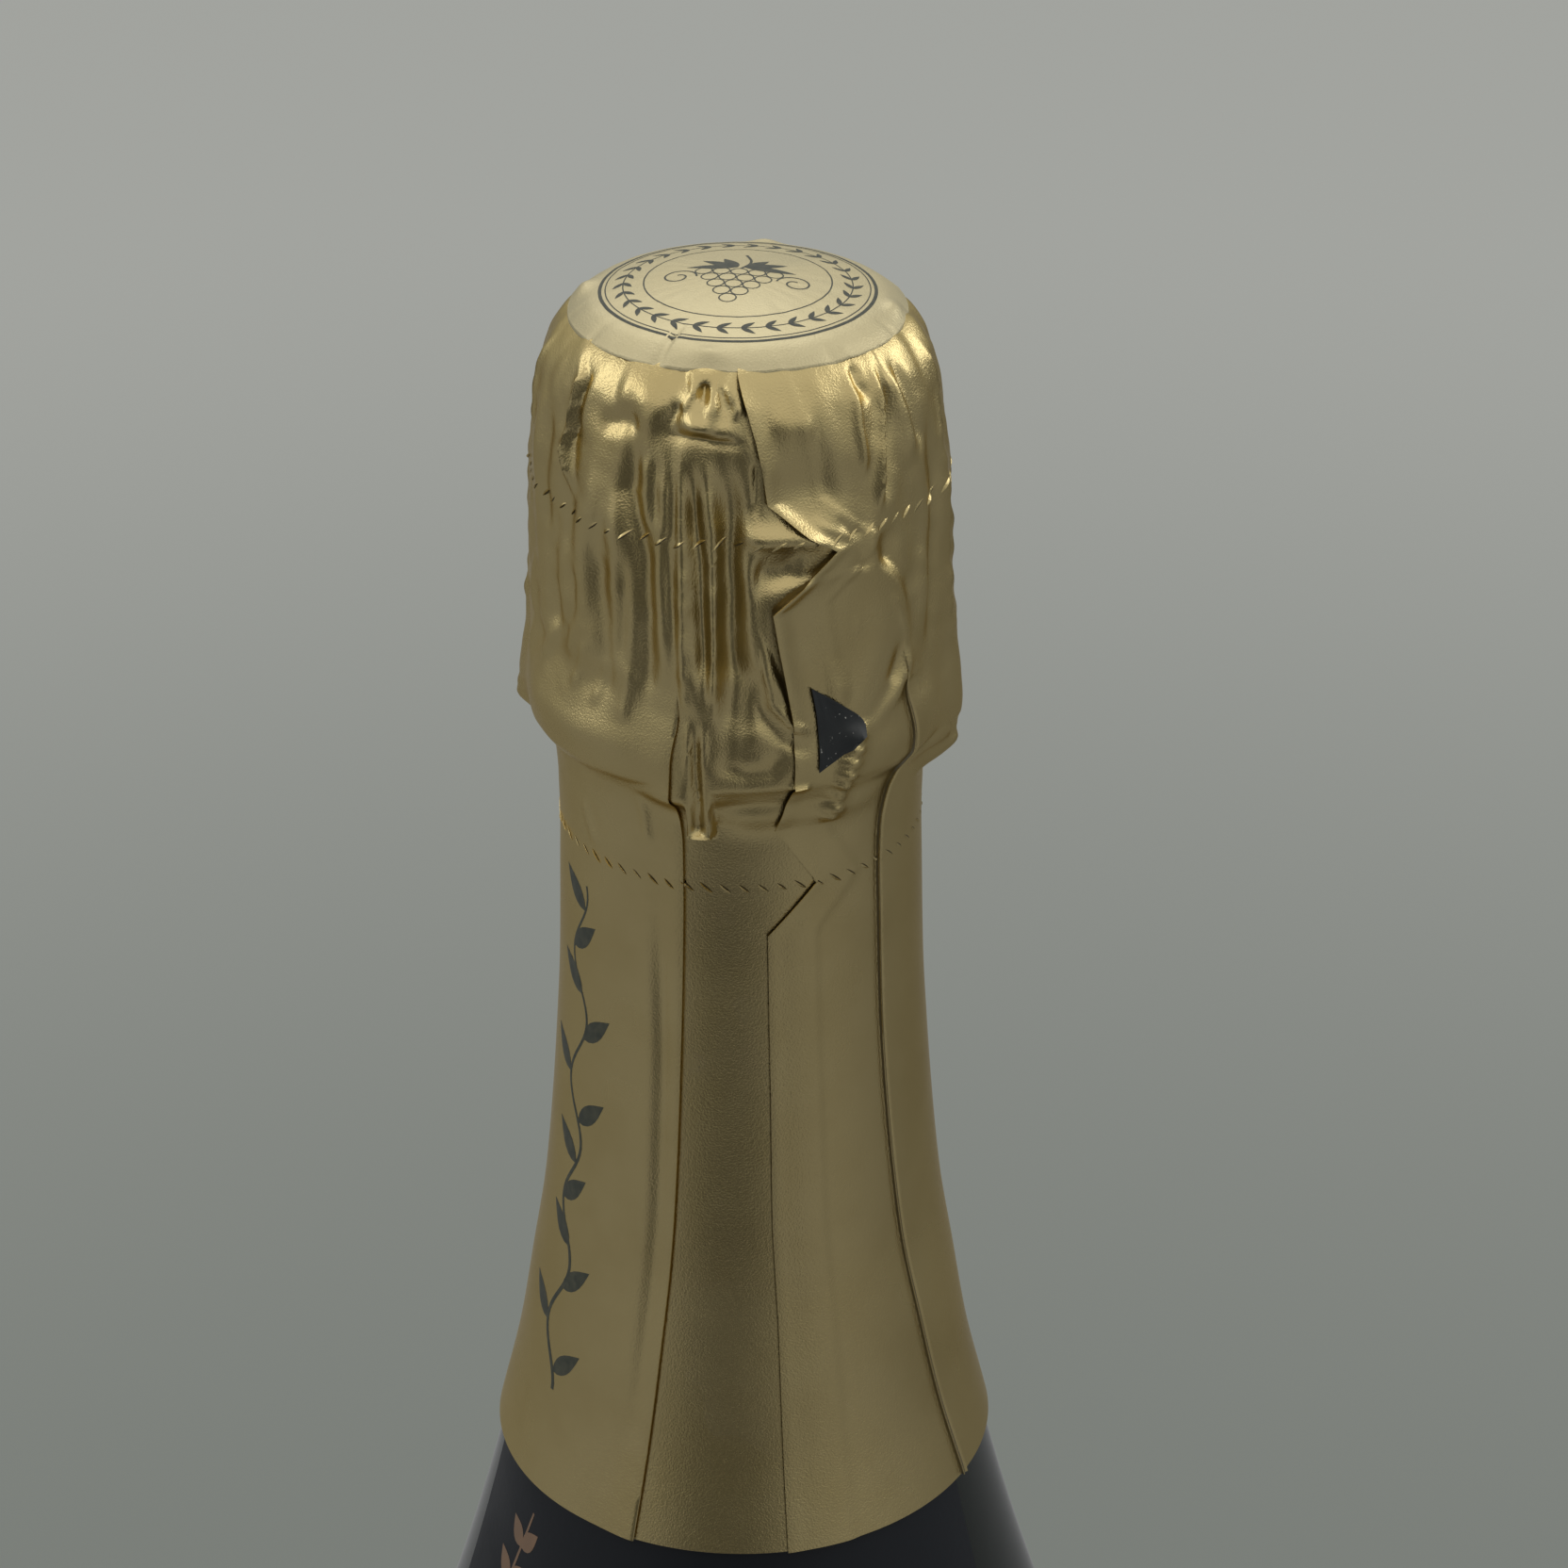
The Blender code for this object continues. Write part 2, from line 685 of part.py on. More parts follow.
def build():
    clear_scene()
    glass = material("dark_green_glass", (0.012, 0.03, 0.018), 0.05, alpha=0.9)
    champagne = material("champagne_wine", (0.72, 0.55, 0.2), 0.05, alpha=0.6)
    agglomerate = material("agglomerated_cork", (0.55, 0.36, 0.2), 0.85)
    natural_cork = material("natural_cork", (0.66, 0.46, 0.28), 0.8)
    cap_metal = material("lacquered_cap", (0.62, 0.48, 0.2), 0.3, metallic=1.0)
    wire = material("galvanised_wire", (0.6, 0.6, 0.6), 0.35, metallic=1.0)
    gold_foil = material("gold_foil", (0.5, 0.42, 0.24), 0.35, metallic=1.0)
    tab_film = material("black_tab", (0.01, 0.012, 0.015), 0.4)
    label_paper = material("dark_label", (0.008, 0.012, 0.016), 0.45)
    glass_bottle(glass)
    wine(champagne)
    cork(agglomerate, natural_cork)
    muselet_cap(cap_metal)
    cage_wire(wire)
    belt_wire(wire)
    key(wire)
    foil_capsule(gold_foil, tab_film)
    labels(label_paper)


build()
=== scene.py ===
"""The looks of a sealed champagne bottle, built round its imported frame. Metres, with +Z up.

The bottle's front faces -Y. Angles round it are in degrees from the front, positive towards +X.
"""
import math

import bmesh
import bpy
import numpy as np
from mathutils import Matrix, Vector


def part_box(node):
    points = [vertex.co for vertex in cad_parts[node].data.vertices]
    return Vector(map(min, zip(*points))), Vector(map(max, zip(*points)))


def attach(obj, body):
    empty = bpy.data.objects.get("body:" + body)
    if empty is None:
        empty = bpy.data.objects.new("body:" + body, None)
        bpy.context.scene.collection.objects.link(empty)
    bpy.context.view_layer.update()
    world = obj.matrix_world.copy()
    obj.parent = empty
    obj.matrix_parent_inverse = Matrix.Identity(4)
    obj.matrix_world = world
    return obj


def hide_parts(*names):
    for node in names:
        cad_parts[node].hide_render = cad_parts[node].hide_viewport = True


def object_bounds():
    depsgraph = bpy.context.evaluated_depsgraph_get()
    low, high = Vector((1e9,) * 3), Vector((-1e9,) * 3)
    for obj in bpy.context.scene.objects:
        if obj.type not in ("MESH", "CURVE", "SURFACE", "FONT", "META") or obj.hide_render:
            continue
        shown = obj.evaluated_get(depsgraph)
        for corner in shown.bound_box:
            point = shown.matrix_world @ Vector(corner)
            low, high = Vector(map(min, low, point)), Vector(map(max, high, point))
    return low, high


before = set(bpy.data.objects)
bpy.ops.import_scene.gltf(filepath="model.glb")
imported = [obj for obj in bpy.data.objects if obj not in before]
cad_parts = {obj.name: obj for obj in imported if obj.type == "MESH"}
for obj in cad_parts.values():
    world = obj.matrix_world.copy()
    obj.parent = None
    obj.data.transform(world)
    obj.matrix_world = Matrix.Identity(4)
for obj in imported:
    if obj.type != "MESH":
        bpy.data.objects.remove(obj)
cad_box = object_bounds()


# The studio: a grey table top that runs out of sight, with a painted shade round the bottle's foot and a
# painted reflection for glossy rays, a soft ceiling light and a softer one to each side. The camera looks
# down at the neck from hand height, as in the photograph.
MM = 0.001
photo_width = 1664
focal_pixels = 4400
sensor_width = 36
camera_place = (57.15 * MM, -303.17 * MM, 434.5 * MM)
camera_tilt = math.radians(62.38)
camera_turn = math.radians(10)

table_radius = 6.0
# Seen from the camera, the table is darker near the bottle, a painted shade round its foot, and plain grey
# far off.
table_near_painted_shade = (0.133, 0.153, 0.134)
table_far = (0.355, 0.365, 0.34)
# What glossy rays see of the table: a painted reflection, not its lit paint.
table_painted_reflection = (0.26, 0.262, 0.262)
table_near_distance = 0.15
table_far_distance = 0.92
table_paint = 0.42
table_roughness = 0.8
table_emission_share = 0.8

# What the bottle mirrors is darker in two sectors of the room; on the table this is a painted reflection that
# only glossy rays see. For each: the middle, half width and edge in degrees, the share of light left there,
# and how far off on the table the front one starts.
dark_front = (3.0, 27.0, 15.0)
dark_front_share = 0.26
dark_front_near = 0.24
dark_front_far = 0.46
dim_right = (128.0, 45.0, 28.0)
dim_right_share = 0.72
dark_sector_colour = (0.02, 0.02, 0.02)

wall_low = (0.4, 0.41, 0.385)
ceiling = (0.74, 0.725, 0.68)
ceiling_starts = 0.05
ceiling_full = 0.72
dark_front_top = (0.15, 0.55)

# Each lamp: its name, its place and width in metres, and its power in watts.
lamps = (
    ("ceiling_light", (-0.3, 0.9, 1.6), 1.5, 4.5),
    ("left_light", (-1.3, -0.3, 1.0), 0.9, 2.5),
    ("right_light", (1.2, 0.5, 0.9), 0.9, 4.2),
)


def node(tree, kind, inputs=None, **settings):
    """Adds a shader node. A value in inputs is a number, a colour or the socket that feeds it."""
    made = tree.nodes.new("ShaderNode" + kind)
    for name, value in settings.items():
        setattr(made, name, value)
    for socket, value in (inputs or {}).items():
        if isinstance(value, bpy.types.NodeSocket):
            tree.links.new(value, made.inputs[socket])
        else:
            made.inputs[socket].default_value = value
    return made


def maths(tree, operation, *values):
    """The sum, product or other operation on values that are numbers or sockets."""
    return node(tree, "Math", dict(enumerate(values)), operation=operation).outputs[0]


def smooth_range(tree, value, low, high, to_low=0.0, to_high=1.0):
    """Goes smoothly from to_low to to_high while the value goes from low to high."""
    inputs = {"Value": value, "From Min": low, "From Max": high, "To Min": to_low, "To Max": to_high}
    return node(tree, "MapRange", inputs, interpolation_type="SMOOTHSTEP").outputs["Result"]


def mixed(tree, share, first, second):
    """The first colour where the share is 0 and the second where it is 1."""
    made = node(tree, "Mix", data_type="RGBA")
    for socket, value in ((made.inputs[0], share), (made.inputs[6], first), (made.inputs[7], second)):
        if isinstance(value, bpy.types.NodeSocket):
            tree.links.new(value, socket)
        elif isinstance(value, tuple):
            socket.default_value = (*value, 1.0)
        else:
            socket.default_value = value
    return made.outputs[2]


def sector(tree, direction, middle, half_width, edge):
    """1 in the directions round the middle angle, in degrees from the front, and 0 elsewhere."""
    parts = node(tree, "SeparateXYZ", {0: direction}).outputs
    angle = maths(tree, "ARCTAN2", parts[0], maths(tree, "MULTIPLY", parts[1], -1.0))
    away = maths(tree, "ABSOLUTE", maths(tree, "SUBTRACT", angle, math.radians(middle)))
    inner, outer = math.radians(half_width - edge), math.radians(half_width + edge)
    return smooth_range(tree, away, inner, outer, 1.0, 0.0)


bpy.context.scene.view_settings.view_transform = "Standard"
camera_data = bpy.data.cameras.new("photo_camera")
camera_data.sensor_width = sensor_width
camera_data.lens = focal_pixels / photo_width * sensor_width
camera_data.clip_start = 0.01
camera = bpy.data.objects.new("photo_camera", camera_data)
camera.location = camera_place
camera.rotation_euler = (camera_tilt, 0, camera_turn)
bpy.context.scene.collection.objects.link(camera)
bpy.context.scene.camera = camera

table_mesh = bpy.data.meshes.new("table_top")
table_bm = bmesh.new()
bmesh.ops.create_circle(table_bm, cap_ends=True, segments=96, radius=table_radius)
table_bm.to_mesh(table_mesh)
table_bm.free()
table = bpy.data.objects.new("table_top", table_mesh)
bpy.context.scene.collection.objects.link(table)

table_material = bpy.data.materials.new("table_top")
table_material.use_nodes = True
tree = table_material.node_tree
paint = tree.nodes["Principled BSDF"]
paint.inputs["Base Color"].default_value = (table_paint, table_paint, table_paint, 1.0)
paint.inputs["Roughness"].default_value = table_roughness
spot = node(tree, "NewGeometry").outputs["Position"]
distance = node(tree, "VectorMath", {0: spot}, operation="LENGTH").outputs["Value"]
# The table's colour for the camera goes from a painted shade near the bottle to its plain grey far off.
farness = smooth_range(tree, distance, table_near_distance, table_far_distance)
seen = node(tree, "Emission", {"Color": mixed(tree, farness, table_near_painted_shade, table_far)})
# Glossy rays see the table as a painted reflection: a flat glow, darkened in the two sectors, in place of its
# lit paint.
beyond = smooth_range(tree, distance, dark_front_near, dark_front_far, 0.0, 1.0 - dark_front_share)
shade = maths(tree, "MULTIPLY", sector(tree, spot, *dark_front), beyond)
dimmed = maths(tree, "MULTIPLY", sector(tree, spot, *dim_right), 1.0 - dim_right_share)
painted_reflection_colour = mixed(tree, dimmed, table_painted_reflection, dark_sector_colour)
painted_reflection_colour = mixed(tree, shade, painted_reflection_colour, dark_sector_colour)
mirrored = node(tree, "Emission", {"Color": painted_reflection_colour})
rays = node(tree, "LightPath").outputs
seen_share = maths(tree, "MULTIPLY", rays["Is Camera Ray"], table_emission_share)
for_camera = node(tree, "MixShader", {0: seen_share, 1: paint.outputs[0], 2: seen.outputs[0]}).outputs[0]
for_all = node(tree, "MixShader", {0: rays["Is Glossy Ray"], 1: for_camera, 2: mirrored.outputs[0]})
tree.links.new(for_all.outputs[0], tree.nodes["Material Output"].inputs["Surface"])
table_mesh.materials.append(table_material)

world = bpy.data.worlds.new("room")
bpy.context.scene.world = world
world.use_nodes = True
tree = world.node_tree
tree.nodes.clear()
direction = node(tree, "TexCoord").outputs["Generated"]
rise = node(tree, "SeparateXYZ", {0: direction}).outputs[2]
height_share = smooth_range(tree, rise, ceiling_starts, ceiling_full)
room = mixed(tree, height_share, wall_low, ceiling)
low_front = smooth_range(tree, rise, *dark_front_top, 1.0, 0.0)
low_front = maths(tree, "MULTIPLY", low_front, sector(tree, direction, *dark_front))
room = mixed(tree, maths(tree, "MULTIPLY", low_front, 1.0 - dark_front_share), room, dark_sector_colour)
room_light = node(tree, "Background", {"Color": room})
backdrop = node(tree, "Background", {"Color": (*table_far, 1.0)})
rays = node(tree, "LightPath").outputs
both = node(tree, "MixShader", {0: rays["Is Camera Ray"], 1: room_light.outputs[0], 2: backdrop.outputs[0]})
world_output = node(tree, "OutputWorld")
tree.links.new(both.outputs[0], world_output.inputs["Surface"])

for name, place, size, watts in lamps:
    lamp = bpy.data.lights.new(name, "AREA")
    lamp.shape = "DISK"
    lamp.size = size
    lamp.energy = watts
    light = bpy.data.objects.new(name, lamp)
    light.location = place
    aim = Vector((0, 0, cad_box[1][2] / 2)) - Vector(place)
    light.rotation_euler = aim.to_track_quat("-Z", "Y").to_euler()
    bpy.context.scene.collection.objects.link(light)


# The bottle is moulded in one piece of dark green glass, with a punt pushed up into its base, a
# thick collar that the wire grips and a rounded lip. The mould leaves its surface faintly rippled.
glass_columns = 144
glass_tint = (0.006, 0.016, 0.009)
glass_roughness = (0.02, 0.09)
mould_ripples_each_metre = 45.0
mould_ripple_depth = 0.4 * MM

# An outline keeps a corner that turns by more than this, and keeps a run straight that is this many
# times as long as the next one.
corner_turn = math.radians(38)
straight_ratio = 2.4


def meridian(name):
    """The (r, z) outline of a turned CAD node, read in order from its points straight out along +X.

    It starts and ends on the axis, so that what is turned from it is closed.
    """
    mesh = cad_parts[name].data
    keys = []
    for vert in mesh.vertices:
        x, y, z = vert.co
        on_line = abs(y) < 1e-5 and x > -1e-6
        keys.append((round(x, 6), round(z, 6)) if on_line else None)
    beside = {}
    for edge in mesh.edges:
        a, b = (keys[index] for index in edge.vertices)
        if a and b and a != b:
            beside.setdefault(a, set()).add(b)
            beside.setdefault(b, set()).add(a)
    start = min((key for key in beside if len(beside[key]) == 1), key=lambda key: -key[1])
    outline = [start]
    while ahead := [key for key in beside[outline[-1]] if key not in outline]:
        outline.append(ahead[0])
    ends = [(0.0, z) for z in (outline[0][1], outline[-1][1])]
    return list(dict.fromkeys([ends[0], *outline, ends[1]]))


def rounded(outline, steps=4):
    """The outline with its arcs filled in. Long runs stay straight, and sharp corners stay sharp."""
    points = [Vector(point) for point in outline]
    floor = min(point.y for point in points)
    runs = [b - a for a, b in zip(points, points[1:])]
    leaving, arriving = [runs[0].normalized()], []
    for before, after in zip(runs, runs[1:]):
        if before.angle(after) > corner_turn:
            directions = (before.normalized(), after.normalized())
        elif before.length > straight_ratio * after.length:
            directions = (before.normalized(),) * 2
        elif after.length > straight_ratio * before.length:
            directions = (after.normalized(),) * 2
        else:
            shared = before / before.length**2 + after / after.length**2
            directions = (shared.normalized(),) * 2
        arriving.append(directions[0])
        leaving.append(directions[1])
    arriving.append(runs[-1].normalized())
    filled = []
    for point, run, out, into in zip(points, runs, leaving, arriving):
        reach = run.length
        for step in range(steps):
            t = step / steps
            spot = point + run * (t * t * (3 - 2 * t))
            spot += out * reach * (t * (1 - t) ** 2) - into * reach * (t * t * (1 - t))
            filled.append((max(spot.x, 0.0), max(spot.y, floor)))
    return [*filled, outline[-1]]


def finished(name, mesh, material, sharp=50):
    """Makes an object of a mesh, shaded smooth except at its sharp edges."""
    mesh.materials.append(material)
    mesh.shade_smooth()
    mesh.set_sharp_from_angle(angle=math.radians(sharp))
    piece = bpy.data.objects.new(name, mesh)
    bpy.context.scene.collection.objects.link(piece)
    return piece


def turned(name, outline, columns, material, push=None):
    """A solid turned from an outline that starts and ends on the axis. push moves (r, angle, z)."""
    bm = bmesh.new()
    rings = []
    for r, z in outline:
        if r < 1e-6:
            rings.append([bm.verts.new((0, 0, z if push is None else push(0.0, 0.0, z)[1]))])
            continue
        ring = []
        for column in range(columns):
            angle = math.tau * column / columns
            radius, height = (r, z) if push is None else push(r, angle, z)
            ring.append(bm.verts.new((radius * math.cos(angle), radius * math.sin(angle), height)))
        rings.append(ring)
    for low, high in zip(rings, rings[1:]):
        for column in range(columns):
            after = (column + 1) % columns
            corners = [low[column % len(low)], low[after % len(low)]]
            corners += [high[after % len(high)], high[column % len(high)]]
            bm.faces.new(list(dict.fromkeys(corners)))
    bmesh.ops.recalc_face_normals(bm, faces=bm.faces)
    mesh = bpy.data.meshes.new(name)
    bm.to_mesh(mesh)
    bm.free()
    return finished(name, mesh, material)


def principled(name, colour, roughness, metallic=0.0, **sockets):
    """A material, its node tree and its shader, with every steady value on the shader's own sockets."""
    material = bpy.data.materials.new(name)
    material.use_nodes = True
    shader = material.node_tree.nodes["Principled BSDF"]
    shader.inputs["Base Color"].default_value = (*colour, 1.0)
    shader.inputs["Roughness"].default_value = roughness
    shader.inputs["Metallic"].default_value = metallic
    for socket, value in sockets.items():
        shader.inputs[socket.replace("_", " ")].default_value = value
    return material, material.node_tree, shader


def noise(tree, scale, detail=2.0, stretch=(1.0, 1.0, 1.0)):
    """The value of a noise fixed to the object, with scale in marks for each metre."""
    place = node(tree, "TexCoord").outputs["Object"]
    mapped = node(tree, "Mapping", {"Vector": place, "Scale": stretch}).outputs[0]
    return node(tree, "TexNoise", {"Vector": mapped, "Scale": scale, "Detail": detail}).outputs["Fac"]


def relief(tree, height, distance, strength=1.0):
    """The normal of a surface whose height, from 0 to 1, is relief of that distance in metres."""
    inputs = {"Height": height, "Distance": distance, "Strength": strength}
    return node(tree, "Bump", inputs).outputs[0]


def bumped(tree, shader, height, distance, strength=1.0):
    """Gives the shader that relief."""
    tree.links.new(relief(tree, height, distance, strength), shader.inputs["Normal"])


def effect(name, output, kind, numbers):
    """A node group with named numbers going in and one output, and the sockets at its two ends."""
    group = bpy.data.node_groups.new(name, "ShaderNodeTree")
    for label, value in numbers.items():
        socket = group.interface.new_socket(label, in_out="INPUT", socket_type="NodeSocketFloat")
        socket.default_value = value
    group.interface.new_socket(output, in_out="OUTPUT", socket_type=kind)
    given = group.nodes.new("NodeGroupInput").outputs
    return group, given, group.nodes.new("NodeGroupOutput").inputs[output]


# Soft patches of handling and wear, which go from one value to another over the surface. Marks counts
# them over a metre, Start and End are where in the noise they begin and are full.
patch_numbers = {"Marks": 100.0, "Detail": 4.0, "Start": 0.3, "End": 0.75, "Low": 0.0, "High": 1.0}
soft_patches, given, made = effect("soft_patches", "Value", "NodeSocketFloat", patch_numbers)
cloud = noise(soft_patches, given["Marks"], given["Detail"])
worn_value = smooth_range(soft_patches, cloud, given["Start"], given["End"], given["Low"], given["High"])
soft_patches.links.new(worn_value, made)


def patchy(tree, marks, detail, start, end, low=0.0, high=1.0):
    """The soft patches in one material, with that material's own values."""
    inputs = {"Marks": marks, "Detail": detail, "Start": start, "End": end, "Low": low, "High": high}
    return node(tree, "Group", inputs, node_tree=soft_patches).outputs[0]


glass, tree, shader = principled("dark_green_glass", glass_tint, 0.03, IOR=1.52, Transmission_Weight=1.0)
tree.links.new(patchy(tree, 60.0, 4.0, 0.45, 0.75, *glass_roughness), shader.inputs["Roughness"])
mould_ripples = noise(tree, mould_ripples_each_metre, 1.0, (1.0, 1.0, 0.3))
bumped(tree, shader, mould_ripples, mould_ripple_depth, 0.35)
bottle = turned("moulded_glass_bottle", rounded(meridian("glass_bottle"), 3), glass_columns, glass)
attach(bottle, "bottle")
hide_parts("glass_bottle")


# The wine fills the bottle up into the neck. It is a clear pale gold liquid, and the dark glass
# lets little of it show.
wine_tint = (0.86, 0.72, 0.36)
wine_deep = (0.8, 0.64, 0.3)
wine_material, tree, shader = principled("pale_gold_wine", wine_tint, 0.0, IOR=1.34, Transmission_Weight=1.0)
tree.links.new(mixed(tree, noise(tree, 20.0), wine_tint, wine_deep), shader.inputs["Base Color"])
wine = turned("still_wine", rounded(meridian("wine"), 2), 72, wine_material)
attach(wine, "bottle")
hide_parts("wine")


# The mushroom cork is ground cork pressed and glued, with two discs of natural cork under its shank.
# The lip squeezes it into a waist, and its head swells over the lip. Its top is held down by the cap.
cork_tan = (0.5, 0.31, 0.16)
cork_brown = (0.24, 0.12, 0.055)
cork_pale = (0.64, 0.44, 0.25)
cork_joint = (0.14, 0.07, 0.03)
cork_roughness = 0.8
granules_each_metre = 520.0

# Each granule has one tone of its own, and a bent outline with a dark joint of glue round it.
granule_cork, tree, shader = principled("granule_cork", cork_tan, cork_roughness)
place = node(tree, "TexCoord").outputs["Object"]
warp = node(tree, "TexNoise", {"Vector": place, "Scale": granules_each_metre * 1.5}).outputs["Color"]
bent = node(tree, "VectorMath", {0: warp, 3: 0.6 / granules_each_metre}, operation="SCALE").outputs[0]
moved = node(tree, "VectorMath", {0: place, 1: bent}, operation="ADD").outputs[0]
cells = node(tree, "TexVoronoi", {"Vector": moved, "Scale": granules_each_metre}).outputs
tone = node(tree, "SeparateColor", {0: cells["Color"]}).outputs[0]
tans = mixed(tree, smooth_range(tree, tone, 0.1, 0.75), cork_brown, cork_tan)
tans = mixed(tree, smooth_range(tree, tone, 0.7, 0.95), tans, cork_pale)
joints = smooth_range(tree, cells["Distance"], 0.45, 0.75)
tree.links.new(mixed(tree, joints, tans, cork_joint), shader.inputs["Base Color"])
bumped(tree, shader, maths(tree, "SUBTRACT", 1.0, joints), 0.00015, 0.7)

# Natural cork is grained along its length, with brown pits that lie across.
natural_cork, tree, shader = principled("natural_cork", cork_pale, cork_roughness)
growth = smooth_range(tree, noise(tree, 260.0, 5.0, (1.0, 1.0, 3.0)), 0.3, 0.7)
pits = smooth_range(tree, noise(tree, 420.0, 3.0, (1.0, 0.25, 1.0)), 0.62, 0.7)
tans = mixed(tree, growth, cork_tan, cork_pale)
tree.links.new(mixed(tree, pits, tans, cork_brown), shader.inputs["Base Color"])
bumped(tree, shader, maths(tree, "SUBTRACT", 1.0, pits), 0.0002, 0.7)
cork_pieces = (
    ("mushroom_cork", "cork_body", "cork_body", granule_cork),
    ("upper_cork_disc", "cork_disc_upper", "cork_disc", natural_cork),
    ("lower_cork_disc", "cork_disc_lower", "cork_disc", natural_cork),
)
for name, solid, slot, material in cork_pieces:
    piece = turned(name, rounded(meridian(solid), 3), 96, material)
    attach(piece, "cork")
    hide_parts(solid)


# The cap is a round of gold-lacquered tinplate that keeps the wire from cutting into the cork. It is
# pressed into a dome with a rolled rim, and fluted round the foot of the dome to stiffen it.
cap_gold = (0.62, 0.47, 0.2)
cap_worn = (0.5, 0.48, 0.44)
cap_roughness = (0.22, 0.42)
cap_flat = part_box("muselet_cap")[0][2] + 0.9 * MM
flute_count = 36
flute_middle = 9.3 * MM
flute_reach = 1.1 * MM
flute_rise = 0.09 * MM
bead_radius = 5.6 * MM
bead_reach = 0.45 * MM
bead_rise = 0.12 * MM


def cap_press(radius, angle, height):
    """The die's flutes and bead, which move the plate's two faces alike."""
    flutes = math.cos(flute_count * angle) * math.exp(-(((radius - flute_middle) / flute_reach) ** 2))
    bead = math.exp(-(((radius - bead_radius) / bead_reach) ** 2))
    return radius, height + (flute_rise * flutes - bead_rise * bead) * (height > cap_flat)


# The fine grain that rolling, dipping or coating leaves on metal, film and paper.
grain_numbers = {"Marks": 2500.0, "Detail": 2.0, "Depth": 0.00002, "Strength": 0.5}
fine_grain, given, made = effect("fine_grain", "Normal", "NodeSocketVector", grain_numbers)
grain_height = noise(fine_grain, given["Marks"], given["Detail"])
fine_grain.links.new(relief(fine_grain, grain_height, given["Depth"], given["Strength"]), made)


def grained(tree, shader, marks, detail, depth, strength):
    """Gives one material the fine grain, with that material's own values."""
    inputs = {"Marks": marks, "Detail": detail, "Depth": depth, "Strength": strength}
    tree.links.new(node(tree, "Group", inputs, node_tree=fine_grain).outputs[0], shader.inputs["Normal"])


cap_metal, tree, shader = principled("gold_lacquered_tinplate", cap_gold, 0.3, 1.0, Coat_Weight=0.3)
tree.links.new(patchy(tree, 160.0, 4.0, 0.3, 0.8, *cap_roughness), shader.inputs["Roughness"])
scuffs = patchy(tree, 700.0, 4.0, 0.66, 0.74)
tree.links.new(mixed(tree, scuffs, cap_gold, cap_worn), shader.inputs["Base Color"])
grained(tree, shader, 2500.0, 2.0, 0.00001, 0.5)
cap = turned("wire_cap", rounded(meridian("muselet_cap"), 3), 216, cap_metal, cap_press)
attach(cap, "cage")
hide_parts("muselet_cap")


# The neck foil is one sheet of gold-lacquered aluminium laminate. It is rolled round the neck with its
# ends overlapping at the front, pleated where the neck narrows and pressed over the collar and the
# wires, which all show through it. Two rows of slits let its middle band be torn out.
foil_gold = (0.62, 0.503, 0.25)
foil_rim = (0.87, 0.79, 0.6, 1.0)
foil_patina = (0.575, 0.46, 0.22)
# The lining's colour is a painted shade, far darker than the real pale lining.
foil_lining_painted_dark = (0.27, 0.24, 0.17)
foil_roughness = (0.215, 0.315)
foil_thickness = 0.08
row_step = 0.3
long_row_step = 0.9

# The mean length of one degree round the neck, in mm.
degree_length = 0.3

foil_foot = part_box("foil_lower_skirt")[0][2] / MM
lower_row = (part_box("foil_lower_skirt")[1][2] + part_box("foil_tear_band")[0][2]) / 2 / MM
upper_row = (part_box("foil_tear_band")[1][2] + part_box("foil_upper_skirt")[0][2]) / 2 / MM
foil_top = 316.05

# Radius at each height, between the wires, in mm above the foot of the bottle.
foil_outline = (
    (209.7, 22.2), (218.5, 20.1), (226.8, 18.7), (234.8, 17.4), (242.6, 16.6), (250.3, 16.0),
    (257.8, 15.55), (267, 15.3), (271.5, 15.2), (275, 15.25), (277.5, 15.4), (279.3, 15.75),
    (280.6, 16.7), (281.8, 17.45), (283.4, 17.65), (285.2, 17.5), (288, 17.1), (292, 16.95),
    (296.5, 16.95), (302.5, 16.85), (308, 16.35), (311, 15.85), (313, 15.25), (314.5, 14.35),
    (315.6, 13.35), (316.1, 12.4),
)

# Each leg of the wire cage: its angle, how high its foot is and the share of its foot that shows.
legs = ((0, 0.6, 0.3), (90, -0.4, 1.0), (180, 0.5, 1.0), (270, 0.6, 1.0))
leg_outline = (
    (276.8, 0.0), (278.2, 1.8), (279.5, 2.6), (280.6, 1.8), (281.8, 1.15), (284.5, 0.9), (289.9, 1.0),
    (293.3, 0.65), (296.6, 0.4), (302, 0.25), (306.5, 0.15), (312, 0.15), (314, 0.35), (315.6, 0.5),
)
leg_spread = 2.2
leg_foot_fades = (292, 285)

# The belt of wire under the collar. It passes outside each leg's foot, and comes away from the glass
# on one side of it sooner than on the other.
belt_height = 280.85
belt_radius = 15.05
belt_reach = 2.1
belt_strand = 4.8
belt_weave = 24.0
belt_drape = 0.75
belt_drape_height = 1.3

# The key that the belt is untwisted by: a stem and a ring of wire, folded up against the collar. Its
# stem shows as a short rope with ribs.
key_angle = 37.0
key_radius = 17.4
key_ring_foot = 285.2
key_ring_length = 14.4
key_ring_half_width = 7.6
key_ring_narrow_share = 0.35
key_ring_drape = 17.35
key_ring_sag = 0.3
key_ring_sag_starts = (0.6, 4.0)
key_ring_flank = 1.9
key_rope = ((37.4, 276.9), (38.1, 279.0), (39.4, 281.6), (41.8, 284.4), (42.6, 286.5))
key_rope_width = 0.95
key_rope_rise = 0.75
key_rope_pitch = 1.2
key_rope_lean = 0.12
key_rope_ribs = 0.26

